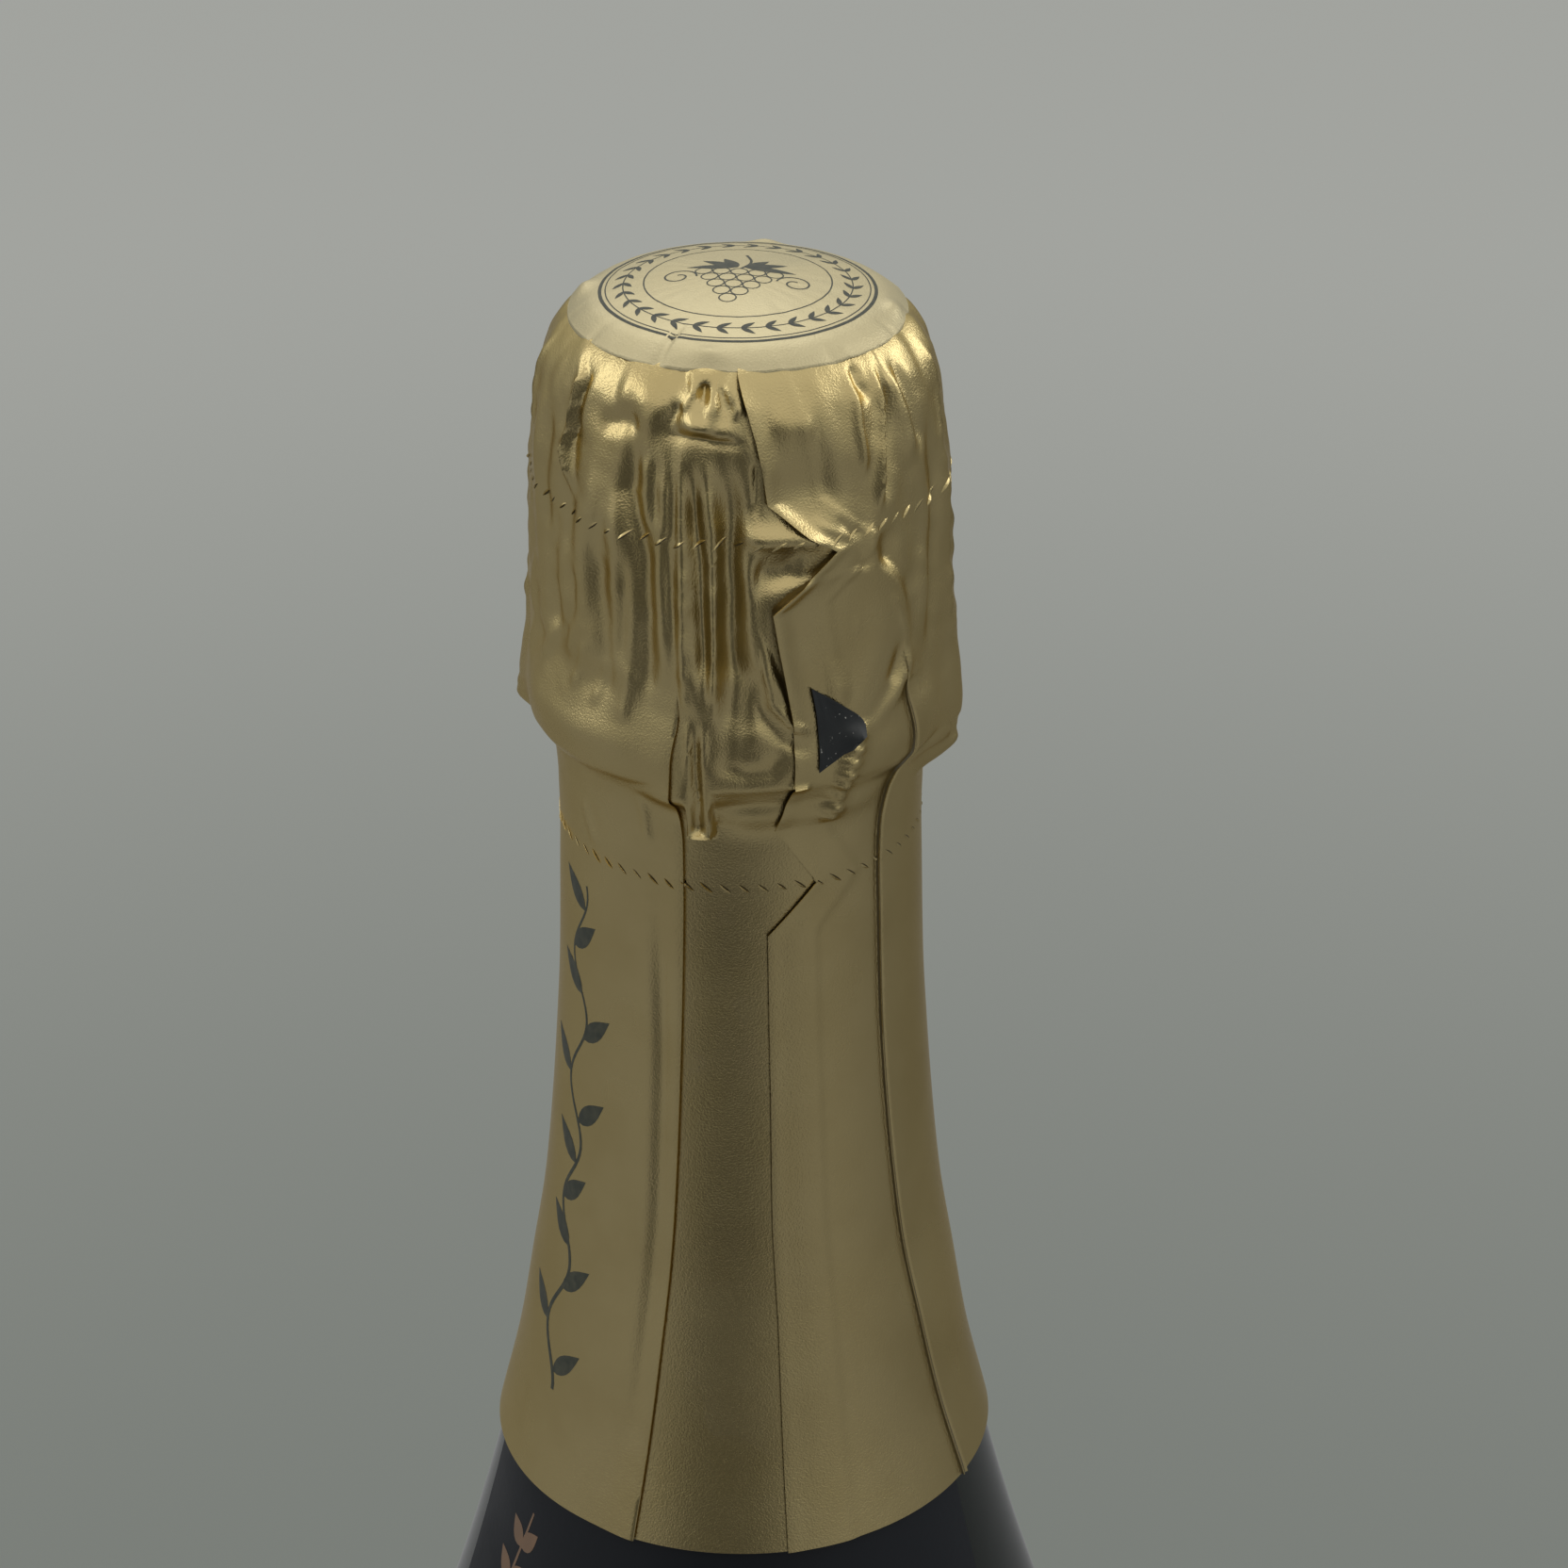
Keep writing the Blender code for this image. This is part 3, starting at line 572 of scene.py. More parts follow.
# The edge of the sheet's outer end, as its angle at each height. The sheet's other end goes on under
# it for the width of the overlap, and the lift is how far the edge stands off.
overlap_edge = (
    (209.7, 20.3), (231, 20.0), (240, 19.0), (252.5, 19.1), (267.1, 18.6), (271.5, 34.1), (277.0, 20.5),
    (281.2, 24.5), (285.4, 24.6), (288.4, 23.7), (294.0, 20.4), (297.2, 18.8), (301.7, 36.0),
    (303.2, 28.5), (305.9, 18.1), (308.7, 16.8), (310.9, 15.3), (313.4, 12.9), (315.6, 10.4),
)
overlap_width = 14.0
overlap_step = 0.16
overlap_tuck = 0.02
overlap_hidden_columns = 12
overlap_lift = (
    (209.7, 0.1), (267, 0.12), (272, 0.15), (277, 0.25), (284, 0.3), (289, 0.5), (294, 0.9), (299, 0.8),
    (302, 0.35), (304, 0.5), (313, 0.45), (316, 0.15),
)
lift_spread = 3.5

# Each pleat as the angle of its fold at each height, and then the side that it is laid to and how high
# it goes.
left_pleat = (
    (209.4, -15.0), (218.1, -13.4), (227.2, -11.6), (240.4, -9.2), (255.1, -7.9), (271.1, -6.9),
    (275.2, -6.9), (280.2, -8.0), (283.9, -7.5), (287.8, -5.9), (290.9, -6.9), (316.0, -6.0),
)
right_pleat = (
    (210.1, 70.9), (217.9, 67.8), (227.3, 64.2), (236.1, 61.2), (252.4, 58.4), (267.3, 57.5),
    (271.3, 57.4), (274.7, 57.6), (278.1, 60.2), (280.3, 63.3), (284.0, 62.4), (287.6, 60.4), (316.0, 60.0),
)
back_right_pleat = ((209.7, 158.0), (240, 165.0), (275, 166.0), (284, 161.0), (316, 162.0))
back_left_pleat = ((209.7, 262.0), (240, 257.0), (275, 255.5), (284, 259.0), (316, 258.0))
pleats = (
    (right_pleat, -1, 292.5),
    (back_right_pleat, 1, 288.0),
    (back_left_pleat, -1, 289.0),
    (left_pleat, 1, 291.5),
)
pleat_rise = 0.36
pleat_fade = 7.0
pleat_spread = 7.0

# Across a pleat, in degrees: each column's place where the sheet is plain, its place where the pleat
# is laid flat, and its share of the pleat's rise. Between the pleats the columns lie evenly.
pleat_columns = (
    (0, 0, 1), (0.3, 0.12, 0.75), (0.6, -0.2, 0.5), (0.9, -1.5, 0.36), (1.2, -1.5, 0), (1.5, 0.35, 0),
)
plain_columns = (52, 88, 84, 88, 48)

# How blunt the line of a crease is.
crease_point = 0.2


def curve_through(points, at):
    """A smooth curve through the points that never swings past them."""
    xs, ys = (np.array(side, float) for side in zip(*points))
    steps = np.diff(ys) / np.diff(xs)
    same_way = steps[1:] * steps[:-1] > 0
    total = np.where(same_way, steps[1:] + steps[:-1], 1.0)
    inner = np.where(same_way, 2 * steps[1:] * steps[:-1] / total, 0.0)
    slopes = np.concatenate((steps[:1], inner, steps[-1:]))
    index = np.clip(np.searchsorted(xs, at) - 1, 0, len(xs) - 2)
    gap = np.diff(xs)[index]
    t = np.clip((at - xs[index]) / gap, 0, 1)
    start, end = ys[index], ys[index + 1]
    bend = slopes[index] * gap * t * (1 - t) ** 2 - slopes[index + 1] * gap * t * t * (1 - t)
    return start + (end - start) * t * t * (3 - 2 * t) + bend


def straight_through(points, at):
    """Straight lines through the points."""
    return np.interp(at, *zip(*points))


def smooth_step(value, low, high):
    """0 up to low, 1 from high on and smooth between them. low may be the greater of the two."""
    t = np.clip((value - low) / (high - low), 0, 1)
    return t * t * (3 - 2 * t)


def turn_from(angle, middle):
    """How far an angle lies past the middle, the short way round, in degrees."""
    return (angle - middle + 180) % 360 - 180


def fold(angle, height, path, width, rise, sharp=False, fade_share=0.25):
    """How far one fold lifts the foil. Its path is in (angle, height), and it fades at both ends."""
    middle = path[0][0]
    across, up = turn_from(angle, middle) * degree_length, height
    points = [(turn_from(turn, middle) * degree_length, z) for turn, z in path]
    lengths = [math.dist(p, q) for p, q in zip(points, points[1:])]
    nearest, place, start = np.full(across.shape, np.inf), np.zeros(across.shape), 0.0
    for p, q, length in zip(points, points[1:], lengths):
        run, lift = q[0] - p[0], q[1] - p[1]
        t = np.clip(((across - p[0]) * run + (up - p[1]) * lift) / length**2, 0, 1)
        away = np.hypot(across - p[0] - t * run, up - p[1] - t * lift)
        place = np.where(away < nearest, start + t * length, place)
        nearest = np.minimum(away, nearest)
        start += length
    end = np.minimum(place, start - place)
    pinched = np.exp((crease_point - np.hypot(nearest, crease_point)) / width)
    shape = pinched if sharp else np.exp(-((nearest / width) ** 2))
    return rise * shape * smooth_step(end, -0.02 * start, fade_share * start)


def dent(angle, height, middle, size, rise, lean=0.0):
    """A smooth swelling, or a hollow where rise is negative, of the size (half width, half height)."""
    across = turn_from(angle, middle[0]) * degree_length
    up = height - middle[1]
    across = across - lean * up
    return rise * np.exp(-((across / size[0]) ** 2) - (up / size[1]) ** 2)


def ripples(angle, height, longest, shortest, seed, waves=16):
    """Gentle waves, 1 mm high at most, that meet themselves all the way round the neck."""
    draw = np.random.default_rng(seed)
    total = 0.0
    around = 360 * degree_length
    for _ in range(waves):
        length = math.exp(draw.uniform(math.log(shortest), math.log(longest)))
        heading = draw.uniform(0, math.pi)
        count = round(around / length * math.cos(heading))
        phase = draw.uniform(0, math.tau)
        climb = math.tau / length * math.sin(heading)
        total = total + np.cos(np.radians(angle) * count + climb * height + phase)
    return total / waves


# Each soft fold: its half width, its rise (negative for a trough) and its path in (angle, height).
soft_folds = (
    (0.95, -0.75, ((-17.2, 312.0), (-20.4, 306.0), (-15.3, 300.9), (-14.9, 295.5), (-15.9, 286.8))),
    (0.55, 0.3, ((-15.4, 309.5), (-15.2, 306.0), (-13.6, 303.0))),
    (0.55, -0.3, ((-12.4, 309.5), (-12.2, 306.4), (-11.6, 303.0))),
    (0.75, 0.4, ((-10.2, 310.5), (-9.6, 305.0), (-10.6, 299.0), (-10.0, 293.0), (-11.0, 288.5))),
    (0.45, 0.35, ((-6.2, 310.8), (-4.8, 306.2), (-4.6, 301.4), (-4.4, 292.0), (-3.6, 288.0))),
    (0.6, -0.8, ((-2.2, 309.6), (-1.2, 304.5), (0.0, 301.0), (0.9, 293.5), (1.2, 287.5))),
    (0.42, 0.35, ((1.2, 309.6), (3.9, 303.6), (4.2, 294.9), (3.6, 287.6))),
    (1.25, -1.05, ((6.6, 310.6), (8.0, 305.0), (8.6, 299.0), (8.2, 293.6), (9.6, 287.6))),
    (0.75, 0.6, ((11.5, 304.2), (12.4, 300.1), (14.5, 295.5), (17.5, 292.8), (22.8, 288.5), (30.7, 285.9))),
    (0.9, 0.75, ((9.5, 303.4), (18.0, 303.1), (26.0, 303.0), (36.0, 302.2))),
    (1.2, -0.5, ((13.5, 300.4), (20.0, 300.2), (27.0, 300.6))),
    (1.1, -0.5, ((-29.6, 301.5), (-30.8, 298.7), (-28.6, 292.3), (-29.4, 287.8))),
    (0.9, 0.3, ((-25.0, 306.0), (-24.0, 300.5), (-24.6, 294.0), (-24.0, 289.0))),
    (0.5, -0.3, ((-22.0, 301.0), (-22.1, 296.8), (-23.2, 290.5))),
    (1.2, -0.5, ((-49.5, 304.5), (-51.7, 296.3), (-51.0, 289.5))),
    (1.0, 0.35, ((-36.6, 305.0), (-35.5, 299.0), (-38.1, 293.3), (-45.9, 289.0))),
    (0.7, -0.3, ((-41.0, 299.0), (-40.6, 294.5), (-47.0, 290.2))),
    (0.5, 0.32, ((-34.6, 292.6), (-38.0, 289.8), (-41.9, 287.3))),
    (0.6, 0.34, ((-50.0, 292.5), (-52.3, 290.8), (-60.3, 288.0))),
    (0.5, 0.26, ((-28.0, 291.6), (-30.5, 288.8), (-33.5, 286.6))),
    (0.5, 0.26, ((-19.5, 291.5), (-21.5, 288.5), (-22.5, 286.2))),
    (0.9, 0.3, ((-66.0, 297.0), (-68.0, 290.0), (-74.0, 286.0))),
    (1.1, -0.4, ((-41.5, 311.5), (-43.5, 304.0), (-43.0, 298.0))),
    (1.1, 0.34, ((-34.5, 312.0), (-32.0, 306.0), (-33.0, 301.0))),
    (1.5, 0.5, ((-29.5, 313.6), (-20.5, 314.2), (-15.0, 313.4), (-9.4, 311.6))),
    (0.9, -0.5, ((-33.0, 310.4), (-24.5, 311.4), (-17.5, 311.2))),
    (1.2, 0.35, ((-60.0, 312.0), (-62.5, 305.0), (-61.0, 298.0))),
    (1.0, -0.35, ((-56.0, 311.0), (-57.5, 304.0), (-56.5, 298.0))),
    (0.6, 0.5, ((-6.6, 313.0), (-4.3, 314.2), (-1.2, 314.9))),
    (0.6, 0.5, ((-3.0, 313.2), (-1.6, 312.3), (1.8, 312.2), (3.4, 313.4), (2.2, 315.0))),
    (0.6, -0.95, ((0.2, 315.0), (0.4, 314.4), (0.2, 313.5))),
    (0.7, 0.4, ((-8.5, 312.5), (-0.6, 311.9), (5.4, 311.7), (11.8, 311.6))),
    (0.6, -0.35, ((4.5, 314.9), (6.6, 313.6), (10.4, 313.0))),
    (0.75, 0.42, ((6.5, 315.4), (9.0, 314.2), (11.2, 312.6))),
    (1.1, 0.32, ((18.0, 312.4), (25.0, 311.8), (33.5, 311.8))),
    (0.8, 0.5, ((48.0, 304.5), (47.6, 301.5), (49.2, 298.0), (57.9, 295.0), (61.1, 292.3),
                (60.8, 289.6), (56.4, 287.6), (45.5, 285.0))),
    (0.9, -0.5, ((53.0, 302.5), (54.5, 299.0), (59.0, 297.4), (65.0, 295.0))),
    (0.9, -0.4, ((52.0, 292.8), (56.4, 290.5), (54.0, 288.4))),
    (0.7, -0.3, ((23.5, 295.5), (26.9, 292.5), (30.5, 290.0))),
    (0.3, 0.42, ((23.0, 281.6), (25.5, 281.6), (29.5, 281.5))),
    (0.9, -0.2, ((6.6, 291.0), (8.6, 287.0), (8.3, 283.0))),
    (0.42, 0.42, ((15.5, 293.5), (17.1, 291.8), (19.1, 289.0), (23.3, 287.4), (31.6, 286.0))),
    (0.55, -0.3, ((14.5, 290.5), (16.9, 287.6), (21.5, 285.8), (30.0, 284.6))),
    (0.85, -0.4, ((4.2, 284.6), (7.6, 283.5), (12.3, 283.0), (18.4, 283.2), (22.6, 285.2))),
    (0.55, 0.25, ((-46.5, 276.5), (-44.6, 274.8), (-39.9, 272.3))),
    (0.5, 0.25, ((-21.0, 279.4), (-20.0, 278.1), (-18.7, 274.4))),
    (0.9, -0.35, ((76.0, 312.0), (78.0, 304.0), (77.0, 296.0), (74.0, 289.0))),
    (1.0, 0.4, ((68.0, 311.0), (71.5, 302.0), (69.0, 295.0), (70.5, 289.0))),
    (1.0, 0.35, ((85.0, 309.0), (84.0, 300.0), (86.0, 291.0))),
    (1.5, -0.42, ((-74.0, 289.6), (-60.0, 289.4), (-44.0, 289.2), (-30.0, 289.0), (-16.0, 289.4))),
    (1.4, 0.3, ((-72.0, 284.6), (-56.0, 284.6), (-40.0, 284.4), (-24.0, 284.4), (-13.0, 284.8))),
    (1.5, 0.7, ((1.6, 278.6), (8.0, 278.5), (14.0, 278.6), (26.0, 278.6), (40.0, 278.5), (60.0, 278.4))),
    (0.7, 0.5, ((60.5, 314.8), (63.5, 311.0), (66.0, 306.0))),
    (0.8, -0.45, ((65.0, 314.8), (68.5, 311.0), (71.0, 306.5))),
    (0.8, -0.3, ((-15.2, 272.5), (-14.8, 266.0), (-13.9, 254.6), (-14.1, 240.0), (-16.4, 226.6),
                 (-18.2, 214.0))),
    (1.0, 0.1, ((-20.5, 270.0), (-19.0, 254.6), (-19.4, 240.0), (-21.6, 226.6))),
)

# Each crease, where the foil is pinched to a line: the width of its flanks, its rise and its path.
creases = (
    (0.36, 0.9, ((-48.9, 315.4), (-42.9, 313.6), (-44.1, 309.7), (-46.1, 307.5), (-40.8, 303.4))),
    (0.38, -0.75, ((-47.0, 315.2), (-41.2, 313.4), (-42.4, 309.7), (-44.4, 307.3))),
    (0.35, -0.4, ((-9.5, 316.0), (-4.4, 314.4), (-9.9, 311.5))),
    (0.35, -0.4, ((-11.5, 311.0), (-0.4, 311.0), (4.6, 310.7), (13.6, 310.6))),
    (0.3, -0.35, ((-8.2, 310.3), (-7.3, 303.7), (-8.8, 302.3), (-6.9, 292.5))),
    (0.3, -0.3, ((15.4, 309.5), (15.2, 306.0), (14.2, 304.6))),
    (0.36, 0.8, ((56.6, 315.2), (55.5, 311.6), (52.9, 308.2), (50.5, 303.3))),
    (0.42, -0.7, ((58.8, 315.0), (57.9, 311.6), (55.2, 308.0), (53.2, 303.6))),
    (0.34, 0.5, ((47.0, 315.0), (45.8, 311.0), (47.2, 306.5))),
    (0.3, -0.5, ((50.0, 315.2), (48.6, 313.8), (52.5, 312.6))),
    (0.3, -0.2, ((-66.0, 279.6), (-50.8, 279.8), (-34.1, 280.3), (-23.0, 280.5), (-13.0, 280.7))),
    (0.25, 0.3, ((30.0, 304.3), (37.0, 303.0), (41.4, 302.4))),
    (0.3, -0.3, ((37.0, 304.2), (41.4, 302.6), (45.5, 302.4))),
    (0.3, 0.35, ((-70.0, 315.2), (-73.0, 311.0), (-70.5, 306.0))),
    (0.3, 0.35, ((84.0, 315.2), (87.5, 310.5), (83.5, 305.0))),
)

# Each swelling or hollow: where its middle is, its half width and half height, and its rise.
dents = (
    ((30.0, 306.6), (3.5, 2.5), -0.85),
    ((38.5, 308.2), (1.6, 2.6), 0.3),
    ((-35.0, 308.5), (2.6, 2.8), -0.3),
    ((-24.0, 303.0), (2.2, 2.4), 0.25),
    ((-57.0, 301.0), (3.0, 4.0), -0.3),
    ((70.0, 300.0), (2.6, 4.5), -0.3),
    ((37.0, 289.5), (2.0, 2.2), 0.2),
    ((8.6, 288.4), (1.2, 1.5), -0.35),
    ((14.0, 286.3), (1.3, 1.0), 0.2),
    ((59.2, 291.3), (0.8, 0.8), -0.22),
)

# The panel over the key is stretched smooth, so its ripples are lower.
calm_middle = (30.0, 303.0)
calm_size = (6.0, 11.0)
calm_share = 0.75

# Each set of ripples: the part of the foil that it lies on, how it is stretched up the neck, its
# longest and shortest wave, the seed of its waves and its rise.
ripple_sets = (
    ("crumpled", 0.45, 7, 2.6, 3, 0.5),
    ("crumpled", 1.0, 3.2, 1.4, 5, 0.11),
    ("pressed", 1.0, 8, 3.0, 8, 0.08),
    ("smoothed", 0.25, 24, 9, 9, 0.05),
)

# The rope of each leg's two strands, which shows where the foil grips it.
rope_strand_angle = 4.0
rope_strand_width = 0.42
rope_pitch = 2.6
rope_rise = 0.16
rope_lumps = 0.45

# The foot of the front leg pushes out a flat tongue of foil, with a rim and a channel down its middle.
# Its profile is the radius at each height.
tongue_angle = -0.8
tongue_top = 285.0
tongue_foot = 276.5
tongue_half_widths = (0.95, 0.7)
tongue_profile = ((276.5, 278.5, 281.0, 284.0, 288.0), (16.9, 17.15, 17.6, 17.95, 17.9))
tongue_flank = 0.35
tongue_rim = 0.22
tongue_rim_inset = 0.15
tongue_rim_width = 0.2
tongue_right_rim_share = 0.5
tongue_foot_rim_height = 0.35
tongue_foot_rim_width = 0.22
tongue_channel = 0.55
tongue_channel_middle = -0.12
tongue_channel_width = 0.5


def belt_stand_out(angle):
    """The share of its reach that the belt stands out, 1 where it passes outside a foot."""
    past = (angle + 45) % 90 - 45
    before = 1 - (-belt_strand - past) / belt_weave
    after = 1 - (past + belt_strand) / (2 * belt_strand)
    share = np.clip(np.where(past < -belt_strand, before, after), 0, 1)
    return share * share * (3 - 2 * share)


def over_key_ring(angle, height, radius):
    """How far the key's ring pushes the foil out. It is stretched across the ring and sags there."""
    share = np.clip((height - key_ring_foot) / key_ring_length, 0, 1)
    taper = key_ring_narrow_share + (1 - key_ring_narrow_share) * share
    half_width = key_ring_half_width * 2 * np.sqrt(share * (1 - share)) * taper
    across = np.abs(turn_from(angle, key_angle)) * degree_length - half_width
    up = np.maximum(key_ring_foot - height, height - key_ring_foot - key_ring_length)
    outside = np.hypot(np.maximum(across, 0), np.maximum(up, 0) * 0.5)
    stretched = key_ring_drape - key_ring_sag * smooth_step(-across, *key_ring_sag_starts)
    flank = np.exp(-((np.maximum(outside - 0.2, 0) / key_ring_flank) ** 2))
    return np.maximum(stretched - radius, 0) * flank


def over_tongue(angle, height, radius):
    """How far the front leg's foot pushes out its tongue, a strip of the tongue's own profile."""
    half_width = np.interp(height, (tongue_foot, tongue_top), tongue_half_widths)
    across = turn_from(angle, tongue_angle) * degree_length
    out = np.abs(across)
    strip = smooth_step(out, half_width + tongue_flank, half_width)
    side_rim = np.exp(-(((out - half_width + tongue_rim_inset) / tongue_rim_width) ** 2))
    side_rim = side_rim * np.where(across > 0, tongue_right_rim_share, 1.0)
    foot_rim = np.exp(-(((height - tongue_foot - tongue_foot_rim_height) / tongue_foot_rim_width) ** 2))
    channel = np.exp(-(((across - tongue_channel_middle) / tongue_channel_width) ** 2))
    channel = channel * smooth_step(height, tongue_foot + 0.4, tongue_foot + 1.0)
    rise = np.interp(height, *tongue_profile) - radius + tongue_rim * np.maximum(side_rim, foot_rim)
    rise = (rise - tongue_channel * channel) * strip
    from_foot = smooth_step(height, tongue_foot - 0.15, tongue_foot + 0.25)
    return rise * from_foot * smooth_step(height, tongue_top + 3, tongue_top)


def foil_radius(angle, height):
    """The radius of the foil's outer face, without its pleats and its overlap."""
    radius = curve_through(foil_outline, height)
    for leg, raised, shown in legs:
        away = turn_from(angle, leg) * degree_length
        foot = smooth_step(height, *leg_foot_fades)
        rise = curve_through(leg_outline, height - raised * foot) * (1 - (1 - shown) * foot)
        radius = radius + rise * np.exp(-((away / leg_spread) ** 2))
        grip = smooth_step(height, 287, 290) * smooth_step(height, 306, 300)
        for side in (-1, 1):
            strand = away - side * rope_strand_angle * degree_length
            lumps = 1 + rope_lumps * np.cos(math.tau * (height / rope_pitch + 0.25 * side))
            radius = radius + rope_rise * grip * lumps * np.exp(-((strand / rope_strand_width) ** 2))
    ribs = 1 + key_rope_ribs * np.cos(math.tau * (height + angle * key_rope_lean) / key_rope_pitch)
    radius = radius + fold(angle, height, key_rope, key_rope_width, key_rope_rise, fade_share=0.12) * ribs
    for width, rise, path in soft_folds:
        radius = radius + fold(angle, height, path, width, rise)
    for width, rise, path in creases:
        radius = radius + fold(angle, height, path, width, rise, sharp=True)
    for middle, size, rise in dents:
        radius = radius + dent(angle, height, middle, size, rise)
    calm = dent(angle, height, calm_middle, calm_size, calm_share)
    parts = {
        "crumpled": smooth_step(height, 284, 290) * (1 - calm),
        "pressed": smooth_step(height, 290, 284) * smooth_step(height, 272, 276),
        "smoothed": smooth_step(height, 276, 268),
    }
    for part, stretch, longest, shortest, seed, rise in ripple_sets:
        radius = radius + ripples(angle, height * stretch, longest, shortest, seed) * rise * parts[part]
    radius = radius + over_key_ring(angle, height, radius)
    radius = radius + over_tongue(angle, height, radius)
    over_belt = belt_radius + belt_reach * belt_stand_out(angle) + belt_drape - radius
    near_belt = np.exp(-(((height - belt_height) / belt_drape_height) ** 2))
    return radius + np.maximum(over_belt, 0) * near_belt


def heights_between(low, high, step):
    """Even rows from low to high, and one more at each corner of the overlap's edge."""
    rows = np.linspace(low, high, math.ceil((high - low) / step) + 1)
    corners = [z for z, _ in overlap_edge if low + 0.05 < z < high - 0.05]
    rows = [z for z in rows if all(abs(z - corner) > 0.12 for corner in corners)]
    return np.array(sorted([*rows, *corners]))


def foil_columns(heights):
    """The angle of each column at each height, and how far its layer stands out of the plain foil."""
    edge = straight_through(overlap_edge, heights)[:, None]
    spans, lifts = [], []
    past = edge
    for (path, side, top), count in zip(pleats, plain_columns):
        around = 360 if path is left_pleat else 0
        middle = curve_through(path, heights)[:, None] + around
        tucked = smooth_step(heights, top, top - pleat_fade)[:, None]
        table = pleat_columns if side == 1 else [(-a, -b, c) for a, b, c in reversed(pleat_columns)]
        turns = middle + np.hstack([(1 - tucked) * loose + tucked * tight for loose, tight, _ in table])
        rises = np.hstack([tucked * pleat_rise * share for *_, share in table])
        share = np.linspace(0, 1, count, endpoint=False)[None, :]
        before = past + (turns[:, :1] - past) * share
        climb = np.exp(-(((turns[:, :1] - before) / pleat_spread) ** 2)) * (side == 1)
        spans += [before, turns]
        lifts += [tucked * pleat_rise * climb, rises]
        past = turns[:, -1:]
    end = edge + 360
    share = np.linspace(0, 1, plain_columns[-1], endpoint=False)[None, 1:]
    spans.append(past + (end - past) * share)
    lifts.append(np.zeros(spans[-1].shape))
    hidden = np.linspace(0, 1, overlap_hidden_columns)[None, :]
    spans.append(end + overlap_width * hidden)
    lifts.append(np.zeros(spans[-1].shape) - overlap_tuck * smooth_step(hidden, 0, 0.3))
    angles = np.hstack(spans)
    layers = np.hstack([np.broadcast_to(lift, span.shape) for lift, span in zip(lifts, spans)])
    for path, side, top in pleats:
        if side == -1:
            middle = curve_through(path, heights)[:, None]
            tucked = smooth_step(heights, top, top - pleat_fade)[:, None]
            away = angles - middle
            on_top = (away > 0) & (layers == 0)
            layers = np.where(on_top, tucked * pleat_rise * np.exp(-((away / pleat_spread) ** 2)), layers)
    past_edge = angles - edge
    lift = curve_through(overlap_lift, heights)[:, None]
    outer = overlap_step * smooth_step(past_edge, overlap_width + 4, overlap_width)
    outer = outer + lift * np.exp(-((past_edge / lift_spread) ** 2))
    return angles, layers + np.where(past_edge < 180, outer, 0)


def thickened(name, mesh, materials):
    """The piece with the foil's thickness given to its inner side, which shows the lining in its painted
    shade.
    """
    piece = finished(name, mesh, materials[0])
    mesh.materials.append(materials[1])
    solid = piece.modifiers.new("thickness", "SOLIDIFY")
    solid.thickness = foil_thickness * MM
    solid.offset = -1
    solid.material_offset = 1
    made = bpy.data.meshes.new_from_object(piece.evaluated_get(bpy.context.evaluated_depsgraph_get()))
    piece.modifiers.clear()
    piece.data = made
    made.shade_smooth()
    made.set_sharp_from_angle(angle=math.radians(65))
    return piece


def sheet(name, heights, materials):
    """One piece of the foil, between two heights, with its real thickness."""
    angles, layers = foil_columns(heights)
    grid_heights = np.broadcast_to(heights[:, None], angles.shape)
    radius = foil_radius(angles, grid_heights) + layers
    turn = np.radians(angles)
    points = np.stack((radius * np.sin(turn), -radius * np.cos(turn), grid_heights), axis=-1) * MM
    rows, columns = angles.shape
    index = np.arange(rows * columns).reshape(rows, columns)
    faces = np.stack((index[:-1, :-1], index[:-1, 1:], index[1:, 1:], index[1:, :-1]), axis=-1)
    mesh = bpy.data.meshes.new(name)
    mesh.from_pydata(points.reshape(-1, 3).tolist(), [], faces.reshape(-1, 4).tolist())
    return thickened(name, mesh, materials)


foil_material, tree, shader = principled("gold_foil", foil_gold, 0.26, 1.0, Specular_Tint=foil_rim)
tree.links.new(patchy(tree, 55.0, 3.0, 0.3, 0.75, *foil_roughness), shader.inputs["Roughness"])
patina = patchy(tree, 130.0, 4.0, 0.35, 0.75)
tree.links.new(mixed(tree, patina, foil_gold, foil_patina), shader.inputs["Base Color"])
grained(tree, shader, 6000.0, 2.0, 0.00004, 1.0)
# The lining is given a dark colour as painted shade in the pleats' hollows and at the overlap's edge.
foil_lining_painted_shade, tree, shader = principled("foil_lining_painted_shade", foil_lining_painted_dark, 0.4, 1.0)
grained(tree, shader, 3000.0, 2.0, 0.00002, 0.6)

foil_pieces = (
    ("upper_skirt_foil", "foil_upper_skirt", "hood", upper_row, foil_top, row_step),
    ("tear_band_foil", "foil_tear_band", "tear_band", lower_row, upper_row, row_step),
    ("lower_skirt_foil", "foil_lower_skirt", "bottle", foil_foot, lower_row, long_row_step),
)
for name, solid, body, low, high, step in foil_pieces:
    piece = sheet(name, heights_between(low, high, step), (foil_material, foil_lining_painted_shade))
    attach(piece, body)
    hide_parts(solid)


# A round of thicker foil is glued over the end of the sheet and closes the top. It is pressed over the
# cap, so it has a flat crown and a turned-down edge with a few radial creases.
crown_gold = (0.6, 0.53, 0.335)
crown_roughness = (0.44, 0.56)
crown_rings = 70
crown_columns = 240
crown_radius = 13.5
crown_edge_drop = 0.28
crown_edge_flare = 0.04
crown_edge_waver = 0.05
crown_crease_width = 0.22
crown_ripple = 0.04

